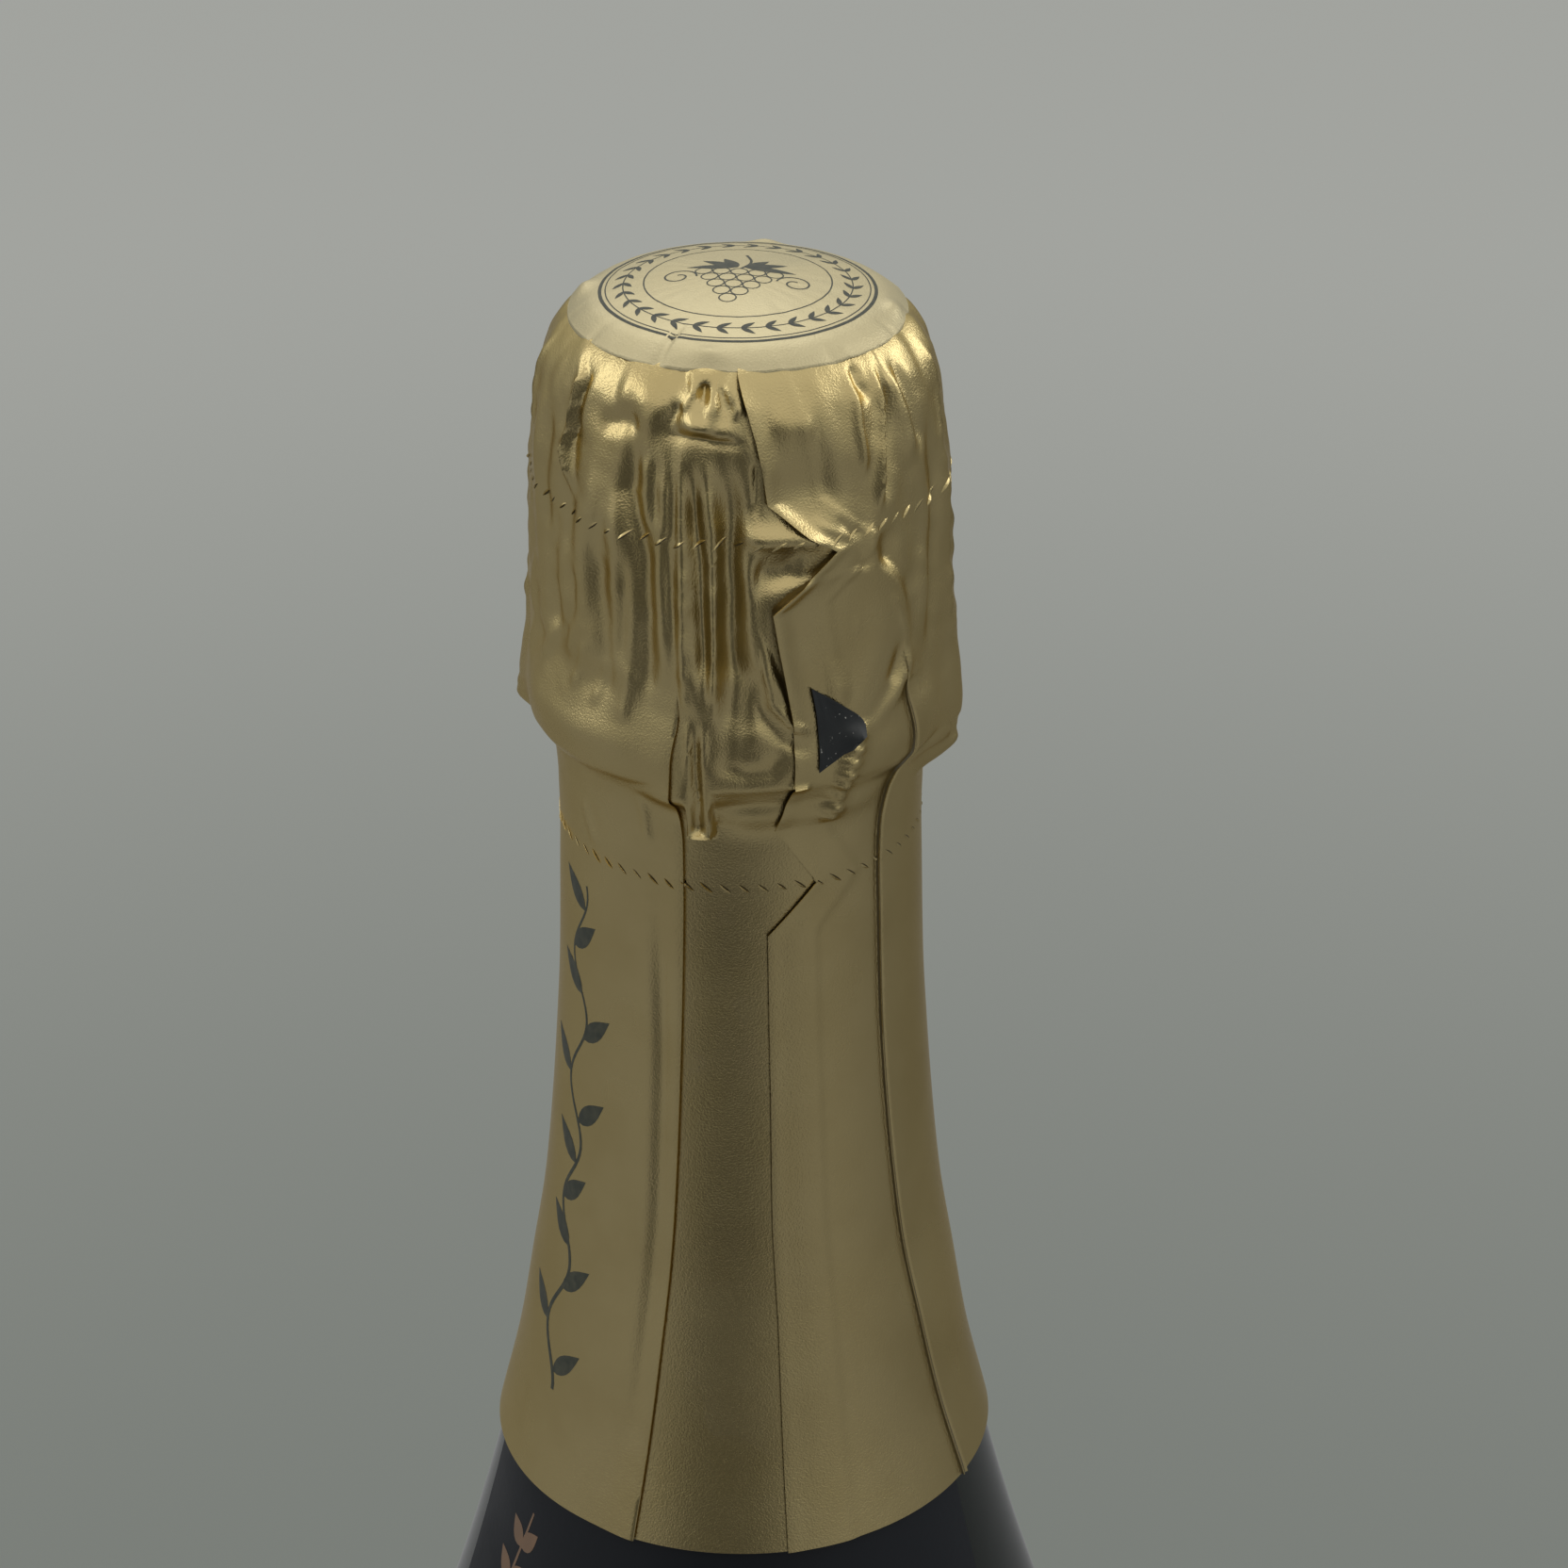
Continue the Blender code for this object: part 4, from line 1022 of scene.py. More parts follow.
# Height of the crown at each radius, in mm above the foot of the bottle, and its rise over a leg.
crown_outline = (
    (0, 318.52), (1.7, 318.46), (4.9, 318.15), (8, 317.7), (10.4, 317.25), (11.7, 316.9),
    (12.7, 316.35), (13.5, 315.72),
)
crown_leg_rise = 0.45
crown_leg_middle = 12.6
crown_leg_reach = 0.75
crown_leg_half_width = 1.9

# Each crease of the round: its angle, where it starts and ends along the radius, and its depth.
crown_creases = (
    (-17, 8.5, 11.0, -0.42), (-13, 10.5, 13.3, 0.1), (43, 11.0, 13.3, -0.16), (50, 11.3, 13.3, 0.12),
    (-48, 11.0, 13.3, -0.12), (8, 11.6, 13.3, -0.1), (24, 11.8, 13.3, 0.08), (-31, 11.4, 13.3, 0.08),
    (75, 11.2, 13.3, -0.12), (96, 11.4, 13.3, -0.1), (118, 11.0, 13.3, 0.1), (141, 11.5, 13.3, -0.12),
    (170, 11.2, 13.3, -0.12), (196, 11.6, 13.3, 0.1), (221, 11.2, 13.3, -0.12), (247, 11.7, 13.3, -0.1),
    (268, 11.1, 13.3, 0.08), (290, 11.3, 13.3, -0.14),
)


def crown_height(radius, angle):
    """The height of the crown's upper face in mm, at a radius in mm and an angle in degrees."""
    height = curve_through(crown_outline, radius)
    for leg, *_ in legs:
        away = turn_from(angle, leg) * degree_length
        along = (radius - crown_leg_middle) / crown_leg_reach
        height = height + crown_leg_rise * np.exp(-((away / crown_leg_half_width) ** 2) - along**2)
    for middle, start, end, rise in crown_creases:
        away = turn_from(angle, middle) * radius * math.pi / 180
        flanks = np.exp(-np.abs(away) / crown_crease_width)
        height = height + rise * flanks * smooth_step(radius, start, end)
    return height + ripples(angle, radius, 7, 3, 12) * crown_ripple * smooth_step(radius, 1, 6)


def crown_round(name, material, lining):
    """The round as rings of points that lie closer near its edge, and a short turned-down edge."""
    shares = np.sin(np.linspace(0, math.pi / 2, crown_rings))
    radius = (crown_radius * shares)[:, None]
    angles = np.linspace(0, 360, crown_columns, endpoint=False)[None, :]
    height = crown_height(radius, angles)
    radius, angles = np.broadcast_arrays(radius, angles)
    skirt_radius = np.full((1, crown_columns), crown_radius + crown_edge_flare)
    waver = crown_edge_waver * ripples(angles[:1], 0.0, 9, 3, 14)
    skirt_height = height[-1:] - crown_edge_drop + waver
    radius = np.vstack((radius[1:], skirt_radius))
    height = np.vstack((height[1:], skirt_height))
    turn = np.radians(angles[0])
    rings = np.stack((radius * np.sin(turn), -radius * np.cos(turn), height), axis=-1)
    points = [(0, 0, float(crown_height(np.array(0.0), np.array(0.0))) * MM)]
    points += (rings.reshape(-1, 3) * MM).tolist()
    after = [(column + 1) % crown_columns for column in range(crown_columns)]
    faces = [(0, 1 + column, 1 + after[column]) for column in range(crown_columns)]
    for ring in range(len(rings) - 1):
        low, high = 1 + ring * crown_columns, 1 + (ring + 1) * crown_columns
        for column in range(crown_columns):
            faces.append((low + column, high + column, high + after[column], low + after[column]))
    mesh = bpy.data.meshes.new(name)
    mesh.from_pydata(points, [], faces)
    return thickened(name, mesh, (material, lining))


crown_material, tree, shader = principled("pale_gold_crown", crown_gold, 0.5, 1.0)
tree.links.new(patchy(tree, 120.0, 4.0, 0.3, 0.75, *crown_roughness), shader.inputs["Roughness"])
grained(tree, shader, 5500.0, 3.0, 0.00004, 1.0)
crown = crown_round("crown_foil", crown_material, foil_lining_painted_shade)
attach(crown, "hood")
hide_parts("foil_crown_disc")


# The two rows of slits are cut through the foil with a toothed wheel before it is put on. Each slit
# leans, and one side of it is pushed up into a small bright lip.
slit_pitch = 1.54
slit_length = 1.35
slit_length_spread = (0.8, 1.15)
slit_lean = math.radians(40)
slit_lip = 0.12
slit_lip_spread = (0.4, 1.5)
slit_gap = 0.1
slit_floor = 0.012
slit_lift = 0.004
slit_steps = 6

# Across the lip of a slit: how far each line of it is from the cut, and its share of the lip's rise.
slit_lip_lines = ((0.2, 0.0), (0.08, 0.75), (0.02, 1.0))
# The gap of each slit is a flat dark strip just over the foil: painted shade where the cut opens.
slit_painted_shade = (0.06, 0.045, 0.02)
slit_painted_shade_brown = (0.1, 0.08, 0.04)
slit_rows = (
    ("upper_slits", upper_row, slit_lean, "tear_band"),
    ("lower_slits", lower_row, math.pi - slit_lean, "bottle"),
)

# The finished foil's outer radius at every height and angle, for what lies on it.
face_step = 0.4
face_turns = 720
face_heights = np.arange(foil_foot, foil_top, face_step)
face_angles = np.linspace(0, 360, face_turns + 1)
laid_angles, laid_layers = foil_columns(face_heights)
laid_heights = np.broadcast_to(face_heights[:, None], laid_angles.shape)
laid_radius = foil_radius(laid_angles, laid_heights) + laid_layers
face_radius = []
for row_angles, row_radius in zip(laid_angles, laid_radius):
    shown = row_angles < row_angles[0] + 360
    start = row_angles[0]
    sweep = (face_angles - start) % 360 + start
    face_radius.append(np.interp(sweep, row_angles[shown], row_radius[shown]))
face_radius = np.array(face_radius)


def foil_face(angle, height, lift=0.0):
    """The point, in metres, that lies lift above the foil's outer face."""
    row = min(max((height - foil_foot) / face_step, 0), len(face_heights) - 1.001)
    turn = (angle % 360) / 360 * face_turns
    low, left = int(row), int(turn)
    up, right = row - low, turn - left
    below = face_radius[low, left] * (1 - right) + face_radius[low, left + 1] * right
    above = face_radius[low + 1, left] * (1 - right) + face_radius[low + 1, left + 1] * right
    radius = below * (1 - up) + above * up + lift
    bearing = math.radians(angle)
    return (radius * math.sin(bearing) * MM, -radius * math.cos(bearing) * MM, height * MM)


class Strips:
    """A mesh made of strips, each a grid of points with a material of its own."""

    def __init__(self):
        self.points, self.faces, self.indices = [], [], []

    def add(self, rows, index=0):
        """Adds a strip as rows of points, each row with as many points as the first."""
        first, width = len(self.points), len(rows[0])
        for row in rows:
            self.points += row
        for step in range(len(rows) - 1):
            for across in range(width - 1):
                corner = first + step * width + across
                self.faces.append((corner, corner + 1, corner + width + 1, corner + width))
                self.indices.append(index)

    def piece(self, name, materials, sharp=60):
        """The strips as one object. The number that each was added with picks its material."""
        mesh = bpy.data.meshes.new(name)
        mesh.from_pydata(self.points, [], self.faces)
        piece = finished(name, mesh, materials[0], sharp)
        for material in materials[1:]:
            mesh.materials.append(material)
        mesh.polygons.foreach_set("material_index", self.indices)
        return piece


# The slits' gaps get painted shade, dark with brown mottling.
slit_shade, tree, shader = principled("slit_shade", slit_painted_shade, 0.7, 0.6)
tree.links.new(mixed(tree, noise(tree, 900.0), slit_painted_shade, slit_painted_shade_brown), shader.inputs["Base Color"])
for row_name, row_height, lean, body in slit_rows:
    row_radius = float(np.mean(laid_radius[int((row_height - foil_foot) / face_step)]))
    slit_count = round(math.tau * row_radius / slit_pitch)
    degree = math.tau * row_radius / 360
    slits = Strips()
    draw = np.random.default_rng(int(row_height))
    for number in range(slit_count):
        middle = 360 * number / slit_count
        length = slit_length * draw.uniform(*slit_length_spread)
        lip = slit_lip * draw.uniform(*slit_lip_spread)
        section = [(side, lip * share) for side, share in slit_lip_lines]
        section += [(0.0, slit_floor), (-slit_gap, slit_floor)]
        along = (math.cos(lean), math.sin(lean))
        over = (-along[1], along[0])
        lip_rows, gap_rows = [], []
        for step in range(slit_steps + 1):
            share = step / slit_steps
            reach = (share - 0.5) * length
            swell = math.sin(math.pi * share) ** 0.7
            spots = []
            for side, lift in section:
                u = along[0] * reach + over[0] * side * swell
                v = along[1] * reach + over[1] * side * swell
                spots.append(foil_face(middle + u / degree, row_height + v, lift * swell + slit_lift))
            lip_rows.append(spots[:4])
            gap_rows.append(spots[3:])
        slits.add(lip_rows, 0)
        slits.add(gap_rows, 1)
    row_piece = slits.piece(row_name, (foil_material, slit_shade))
    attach(row_piece, body)


# The tab is the end of the tear strip: a kite of matt black film that sticks out from under the
# foil's edge and lies on the foil, with a faint ripple and a few pale flecks.
tab_black = (0.012, 0.015, 0.017)
tab_fleck = (0.4, 0.4, 0.38)
tab_thickness = 0.1
tab_lift = 0.12
tab_ripple = 0.05
tab_steps = 18
tab_columns = 14
tab_corners = ((29.2, 290.2), (46.8, 285.9), (30.9, 282.9))
tab_bow = 0.9
tab_round_start = 0.76
tab_round_reach = 0.12
tab_end_width = 0.12
tab_least_width = 0.25


def tab_outline():
    """The kite's rows, each a height and two angles. Its left edge bows in and its tip is rounded."""
    (top_angle, top), (tip_angle, tip), (foot_angle, foot) = tab_corners
    rows = []
    for step in range(tab_steps + 1):
        share = step / tab_steps
        height = top + (foot - top) * share
        left = top_angle + (foot_angle - top_angle) * share + tab_bow * math.sin(math.pi * share)
        split = (top - tip) / (top - foot)
        slope = min(share / split, (1 - share) / (1 - split))
        over = max(slope - tab_round_start, 0) / tab_round_reach
        blunt = min(slope, tab_round_start) + tab_round_reach * (1 - math.exp(-over))
        right = left + (tip_angle - left) * blunt + tab_end_width
        rows.append((height, left, max(right, left + tab_least_width)))
    return rows


tab_rows, tab_under = [], []
for height, left, right in tab_outline():
    turns = [left + (right - left) * step / tab_columns for step in range(tab_columns + 1)]
    lifts = [tab_lift + tab_ripple * math.sin(turn * 1.7 + height * 1.1) ** 2 for turn in turns]
    over = [foil_face(turn, height, lift + tab_thickness) for turn, lift in zip(turns, lifts)]
    under = [foil_face(turn, height, lift) for turn, lift in zip(turns, lifts)]
    tab_rows.append([under[0], *over, under[-1]])
    tab_under.append(under)
tab = Strips()
tab.add(tab_rows)
tab.add([row[::-1] for row in tab_under])
tab_material, tree, shader = principled("matt_black_film", tab_black, 0.55)
flecks = patchy(tree, 2600.0, 3.0, 0.67, 0.72)
tree.links.new(mixed(tree, flecks, tab_black, tab_fleck), shader.inputs["Base Color"])
grained(tree, shader, 1500.0, 3.0, 0.00004, 0.5)
tab_piece = tab.piece("tear_strip_tab", (tab_material,))
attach(tab_piece, "tear_tab")
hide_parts("foil_tear_tab")


# The crown is printed with dark ink before it is cut out: two fine rings near its edge, one further
# in, a wreath of small leaves between them and a bunch of grapes in the middle.
ink_colour = (0.028, 0.034, 0.024)
ink_worn = (0.06, 0.062, 0.04)
ink_lift = 0.012
stroke_columns = 4
outer_ring_radius = 10.94
outer_ring_width = 0.28
second_ring_radius = 10.5
second_ring_width = 0.1
inner_ring_radius = 7.45
inner_ring_width = 0.12
wreath_radius = 9.1
wreath_stem_width = 0.1
wreath_leaves = 30
leaf_length = 1.35
leaf_width = 0.42
leaf_lean = 0.62
leaf_steps = 7
berry_radius = 0.68
berry_rows = (5, 4, 3, 2, 1)
berry_line = 0.12
berry_pitch = 2.1
berry_row_pitch = 1.85
bunch_top = 0.6

# Over the bunch, a stalk with three leaves on each side, and a tendril that curls beside the grapes.
stalk_foot = 1.3
stalk_step = 0.36
stalk_sway = 0.5
stalk_width = 0.22
stalk_points = 12
crown_leaf_foot = (0.3, 1.6)
crown_leaf_lengths = (2.7, 3.5, 4.1)
crown_leaf_width = 1.0
tendril_middle = (4.7, -0.6)
tendril_radius = 1.5
tendril_half_turns = 2.6
tendril_tightening = 0.75
tendril_width = 0.16
tendril_steps = 29


def on_crown(x, y):
    """The point that lies just over the crown at (x, y) in mm, x to the right and y to the back."""
    radius = math.hypot(x, y)
    angle = math.degrees(math.atan2(x, -y))
    height = float(crown_height(np.array(radius), np.array(angle))) + ink_lift
    return (x * MM, y * MM, height * MM)


def stroke(strips, path, widths, place, index=0):
    """Adds a painted stroke along a path of (x, y) points, as wide at each as the widths say."""
    rows = []
    for step, (x, y) in enumerate(path):
        ahead = path[min(step + 1, len(path) - 1)]
        behind = path[max(step - 1, 0)]
        run = math.dist(ahead, behind) or 1.0
        side_x = -(ahead[1] - behind[1]) / run * widths[step]
        side_y = (ahead[0] - behind[0]) / run * widths[step]
        shares = [across / stroke_columns - 0.5 for across in range(stroke_columns + 1)]
        rows.append([place(x + side_x * share, y + side_y * share) for share in shares])
    strips.add(rows, index)


def leaf(strips, foot, heading, length, width, place, index=0):
    """Adds a filled leaf that starts at foot and points along heading, in radians."""
    along_x, along_y = math.cos(heading) * length, math.sin(heading) * length
    path, widths = [], []
    for step in range(leaf_steps + 1):
        share = step / leaf_steps
        path.append((foot[0] + along_x * share, foot[1] + along_y * share))
        widths.append(width * math.sin(math.pi * share**0.8) + 0.02)
    stroke(strips, path, widths, place, index)


def circle(strips, middle, radius, width, place, steps, index=0):
    """Adds a ring of the line width round the middle, out to the radius."""
    turns = [math.tau * step / steps for step in range(steps)] + [0.0]
    inner, outer = radius - width / 2, radius + width / 2
    rows = []
    for turn in turns:
        x, y = math.cos(turn), math.sin(turn)
        rows.append([
            place(middle[0] + x * inner, middle[1] + y * inner),
            place(middle[0] + x * outer, middle[1] + y * outer),
        ])
    strips.add(rows, index)


ink, tree, shader = principled("dark_green_ink", ink_colour, 0.5)
worn = patchy(tree, 1400.0, 3.0, 0.3, 0.8)
tree.links.new(mixed(tree, worn, ink_colour, ink_worn), shader.inputs["Base Color"])
printed = Strips()
circle(printed, (0, 0), outer_ring_radius, outer_ring_width, on_crown, 180)
circle(printed, (0, 0), second_ring_radius, second_ring_width, on_crown, 180)
circle(printed, (0, 0), inner_ring_radius, inner_ring_width, on_crown, 144)
circle(printed, (0, 0), wreath_radius, wreath_stem_width, on_crown, 144)
for number in range(wreath_leaves):
    turn = math.tau * (number + 0.5) / wreath_leaves
    foot = (wreath_radius * math.cos(turn), wreath_radius * math.sin(turn))
    for lean in (-leaf_lean, leaf_lean):
        leaf(printed, foot, turn + math.pi / 2 + lean, leaf_length, leaf_width, on_crown)
for row, count in enumerate(berry_rows):
    for number in range(count):
        x = (number - (count - 1) / 2) * berry_pitch * berry_radius
        y = bunch_top - row * berry_row_pitch * berry_radius
        circle(printed, (x, y), berry_radius, berry_line, on_crown, 16)
stalk = [(stalk_sway * math.sin(step / 3), stalk_foot + stalk_step * step) for step in range(stalk_points)]
stroke(printed, stalk, [stalk_width] * stalk_points, on_crown)
for side in (-1, 1):
    foot = (side * crown_leaf_foot[0], crown_leaf_foot[1])
    for number, length in enumerate(crown_leaf_lengths):
        heading = math.pi / 2 - side * (0.6 + 0.5 * number)
        leaf(printed, foot, heading, length, crown_leaf_width, on_crown)
    curl = []
    for step in range(tendril_steps + 1):
        turn = step / tendril_steps * tendril_half_turns * math.pi
        size = tendril_radius * (1 - tendril_tightening * step / tendril_steps)
        x = side * (tendril_middle[0] - size * math.cos(turn))
        curl.append((x, tendril_middle[1] + size * math.sin(turn)))
    stroke(printed, curl, [tendril_width] * len(curl), on_crown)
print_piece = printed.piece("crown_print", (ink,))
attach(print_piece, "hood")


# A slim vine is printed up the left of the lower foil in the same dark ink, flat on the foil. Its
# leaves stand to the left and to the right in turn.
vine_angle = -50.0
vine_low = 219.0
vine_high = 268.0
vine_sway = 1.2
vine_wave = 12.0
vine_width = 0.45
vine_leaf_length = 4.6
vine_leaf_width = 1.7
vine_leaves = 12
vine_leaf_lean = 0.85
vine_steps = 80


def on_foil(x, y):
    """The point just over the foil, x mm round to the right of the vine's line and y mm up."""
    radius = float(curve_through(foil_outline, np.array(y)))
    return foil_face(vine_angle + math.degrees(x / radius), y, ink_lift)


def on_vine(count, steps):
    """The point of the vine's stem that lies count of so many steps up."""
    height = vine_low + (vine_high - vine_low) * count / steps
    return (vine_sway * math.sin(math.tau * height / vine_wave), height)


vine = Strips()
stem = [on_vine(step, vine_steps) for step in range(vine_steps + 1)]
stem_widths = [vine_width * (1 - 0.5 * step / vine_steps) for step in range(vine_steps + 1)]
stroke(vine, stem, stem_widths, on_foil)
for number in range(vine_leaves):
    heading = math.pi / 2 + (vine_leaf_lean if number % 2 else -vine_leaf_lean)
    leaf(vine, on_vine(number + 0.4, vine_leaves), heading, vine_leaf_length, vine_leaf_width, on_foil)
vine_piece = vine.piece("foil_vine_print", (ink,))
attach(vine_piece, "bottle")


# Three labels of coated paper are glued to the glass: one round the neck, whose top the foil covers,
# one on the front and one on the back. Each is near-black navy with copper lines pressed into it.
label_navy = (0.004, 0.006, 0.01)
label_copper = (0.4, 0.265, 0.18)
label_roughness = (0.42, 0.6)
copper_roughness = (0.3, 0.5)
label_thickness = 0.12
label_glue = 0.02
label_print = 0.015
label_corner = 4.0
label_rows = 60
label_columns = 72
border_lines = ((2.0, 0.6), (3.2, 0.2))
neck_label_half_angle = math.radians(70.5)

# The bunch of grapes on each label, at full size. On the neck label it is smaller and lower.
grape_rows = (5, 6, 5, 4, 3, 2, 1)
grape_radius = 1.9
grape_line = 0.4
grape_pitch = 2.1
grape_row_pitch = 1.8
grape_leaves = ((0.25, 12), (0.75, 10), (1.2, 8))
grape_leaf_width = 3.4
rule_start = 16
rule_step = 2
rule_width = 0.5
neck_grapes_scale = 0.62
neck_grapes_drop = 8

# The sprigs of the neck label: how far they stand from its sides and its foot, and how high they go.
sprig_inset = 8.0
sprig_foot = 6
sprig_tops = ((-1, 206.5), (1, 198.0))
sprig_bow = 1.6
sprig_lean = 3.0
sprig_leaves = 8
sprig_leaf_length = 4.6
sprig_leaf_width = 1.8
sprig_leaf_turn = 0.75
labels = (
    ("neck_label_paper", "neck_label", "neck_label", 0),
    ("front_label_paper", "front_label", "body_label", 0),
    ("back_label_paper", "back_label", "body_label", 180),
)

# The outside of the glass as (height, radius) in mm, from its foot up to its lip.
glass_outline = rounded(meridian("glass_bottle"), 3)
lip_index = max(range(len(glass_outline)), key=lambda index: glass_outline[index][1])
foot_index = min(range(len(glass_outline)), key=lambda index: glass_outline[index][1])
outside = sorted((z / MM, r / MM) for r, z in glass_outline[lip_index:foot_index])


def glass_radius(height):
    """The outer radius of the glass at a height, both in mm."""
    return float(np.interp(height, *zip(*outside)))


def label_place(middle_angle, middle_radius, lift):
    """A function that lays a flat point (x, y) in mm on the glass, round from the middle angle."""
    def place(x, y):
        bearing = math.radians(middle_angle) + x / middle_radius
        radius = glass_radius(y) + lift
        return (radius * math.sin(bearing) * MM, -radius * math.cos(bearing) * MM, y * MM)
    return place


def paper_sheet(inner, outer, half_width, low, high):
    """The sheet of paper with round corners, as its face and its back."""
    face, back = [], []
    for row in range(label_rows + 1):
        y = low + (high - low) * (0.5 - 0.5 * math.cos(math.pi * row / label_rows))
        near_end = max(label_corner - (y - low), label_corner - (high - y), 0)
        cut = label_corner - math.sqrt(max(label_corner**2 - near_end**2, 0))
        reach = half_width - cut
        across = [reach * (2 * step / label_columns - 1) for step in range(label_columns + 1)]
        face.append([inner(-reach, y), *(outer(x, y) for x in across), inner(reach, y)])
        back.append([inner(x, y) for x in reversed(across)])
    return face, back


def border(strips, place, half_width, low, high, inset, width):
    """Adds a line with round corners that runs round the label, inset from its edge."""
    reach, bottom, top = half_width - inset, low + inset, high - inset
    corner = label_corner - inset * 0.5
    path = []
    for x_side, y_side, start in ((1, 1, 0), (-1, 1, 90), (-1, -1, 180), (1, -1, 270)):
        middle = (x_side * (reach - corner), (top if y_side > 0 else bottom) - y_side * corner)
        for step in range(7):
            turn = math.radians(start + 15 * step)
            path.append((middle[0] + corner * math.cos(turn), middle[1] + corner * math.sin(turn)))
    path.append(path[0])
    dense = []
    for (x, y), (next_x, next_y) in zip(path, path[1:]):
        count = max(1, round(math.dist((x, y), (next_x, next_y)) / 1.5))
        dense += [(x + (next_x - x) * step / count, y + (next_y - y) * step / count) for step in range(count)]
    dense.append(path[0])
    stroke(strips, dense, [width] * len(dense), place, 1)


def grapes(strips, place, low, high, scale):
    """Adds a bunch of grapes under six leaves, with a rule on each side of it."""
    centre = (low + high) / 2 + 2 * scale
    berry = grape_radius * scale
    for row, count in enumerate(grape_rows):
        for number in range(count):
            x = (number - (count - 1) / 2) * grape_pitch * berry
            y = centre + 3 * scale - row * grape_row_pitch * berry
            circle(strips, (x, y), berry, grape_line * scale, place, 20, 1)
    for side in (-1, 1):
        for heading, length in grape_leaves:
            foot = (side * scale, centre + 6.5 * scale)
            turn = heading if side > 0 else math.pi - heading
            leaf(strips, foot, turn, length * scale, grape_leaf_width * scale, place, 1)
        rule = [(side * (rule_start + rule_step * step) * scale, centre - 4 * scale) for step in range(9)]
        stroke(strips, rule, [rule_width * scale * (1 - step / 10) for step in range(9)], place, 1)


def sprigs(strips, place, low, half_width):
    """Adds a leafy sprig up each side of the neck label, the left one taller."""
    for side, top in sprig_tops:
        start = (side * (half_width - sprig_inset), low + sprig_foot)
        steps = 2 * sprig_leaves
        path = []
        for step in range(steps + 1):
            share = step / steps
            bow = sprig_bow * math.sin(math.pi * share)
            path.append((start[0] + side * (bow - sprig_lean * share), start[1] + (top - start[1]) * share))
        stroke(strips, path, [0.6 - 0.02 * step for step in range(steps + 1)], place, 1)
        for number in range(sprig_leaves):
            length = sprig_leaf_length - 0.2 * number
            for turn in (sprig_leaf_turn, math.pi - sprig_leaf_turn):
                leaf(strips, path[2 * number], turn, length, sprig_leaf_width, place, 1)


label_paper, tree, shader = principled("navy_label_paper", label_navy, 0.5, Specular_IOR_Level=0.35)
tree.links.new(patchy(tree, 90.0, 4.0, 0.3, 0.8, *label_roughness), shader.inputs["Roughness"])
grained(tree, shader, 1600.0, 3.0, 0.00003, 0.5)
copper_print, tree, shader = principled("copper_print", label_copper, 0.36, 1.0)
tree.links.new(patchy(tree, 700.0, 3.0, 0.3, 0.8, *copper_roughness), shader.inputs["Roughness"])
for name, solid, slot, angle in labels:
    low_corner, high_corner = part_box(solid)
    low, high = low_corner[2] / MM, high_corner[2] / MM
    middle_radius = glass_radius((low + high) / 2)
    widest = glass_radius(low) + label_thickness
    on_neck = solid == "neck_label"
    half_angle = neck_label_half_angle if on_neck else math.asin(min(high_corner[0] / MM / widest, 1))
    half_width = half_angle * middle_radius
    inner = label_place(angle, middle_radius, label_glue)
    outer = label_place(angle, middle_radius, label_thickness)
    printed_place = label_place(angle, middle_radius, label_thickness + label_print)
    paper = Strips()
    for side in paper_sheet(inner, outer, half_width, low, high):
        paper.add(side)
    if on_neck:
        grapes(paper, printed_place, low - neck_grapes_drop, high - neck_grapes_drop, neck_grapes_scale)
        sprigs(paper, printed_place, low, half_width)
    else:
        for inset, width in border_lines:
            border(paper, printed_place, half_width, low, high, inset, width)
        grapes(paper, printed_place, low, high, 1.0)
    piece = paper.piece(name, (label_paper, copper_print), 40)
    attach(piece, "bottle")
    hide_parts(solid)


# The cage is galvanised steel wire. Four twisted legs hang from a ring on the cap, and each ends in an
# eyelet under the collar. The belt runs through the eyelets, and its own loop is twisted into the key.
wire_grey = (0.56, 0.56, 0.57)
wire_dull = (0.4, 0.4, 0.41)
wire_roughness = (0.28, 0.5)
wire_radius = 0.38
wire_sides = 8
wire_tip_share = 0.35
foil_gap = 0.5
foil_gap_angles = (-2.2, -1.1, 0, 1.1, 2.2)
top_ring_radius = 11.3
top_ring_height = 316.3
upright = np.array((0.0, 0.0, 1.0))

# A leg's middle line as (radius, height), and the eyelet that its two strands end in.
leg_line = (
    (11.4, 316.3), (12.2, 316.2), (12.85, 315.95), (13.2, 315.35), (13.3, 314.6), (13.75, 313.6),
    (14.25, 312.0), (14.3, 304.0), (15.7, 296.0), (16.6, 291.0), (16.6, 284.9),
)
leg_pitch = 5.2
leg_slow_twist = 0.15
leg_steps = 150
twist_starts = 314.4
eyelet_half_width = 0.7
eyelet_radius = 16.2
eyelet_top = 284.9
eyelet_foot = 277.0
free_eyelet_rise = 0.35
eyelet_fullness = 1.25
eyelet_lean = 1.1
eyelet_lean_starts = 281.5
eyelet_steps = 40

# The key's twist out from the belt, its stem folded up, and the loop of wire over the stem.
key_wire_radius = 0.42
key_twist_radius = key_wire_radius * 0.9
key_pitch = 3.8
key_root_reach = (15.6, 17.0)
key_stem_heights = (281.95, 284.75)
key_loop_foot = key_stem_heights[1] + 0.35
key_loop_length = 13.8
key_loop_half_width = 6.6
key_loop_radius = key_radius - 0.1
key_loop_steps = 60


def smooth_line(points, steps):
    """A smooth path through the points, evenly stepped along its length."""
    points = np.array(points, float)
    along = np.concatenate(([0.0], np.cumsum(np.linalg.norm(np.diff(points, axis=0), axis=1))))
    at = np.linspace(0, along[-1], steps)
    sides = [curve_through(list(zip(along, points[:, axis])), at) for axis in range(points.shape[1])]
    return np.stack(sides, axis=-1)


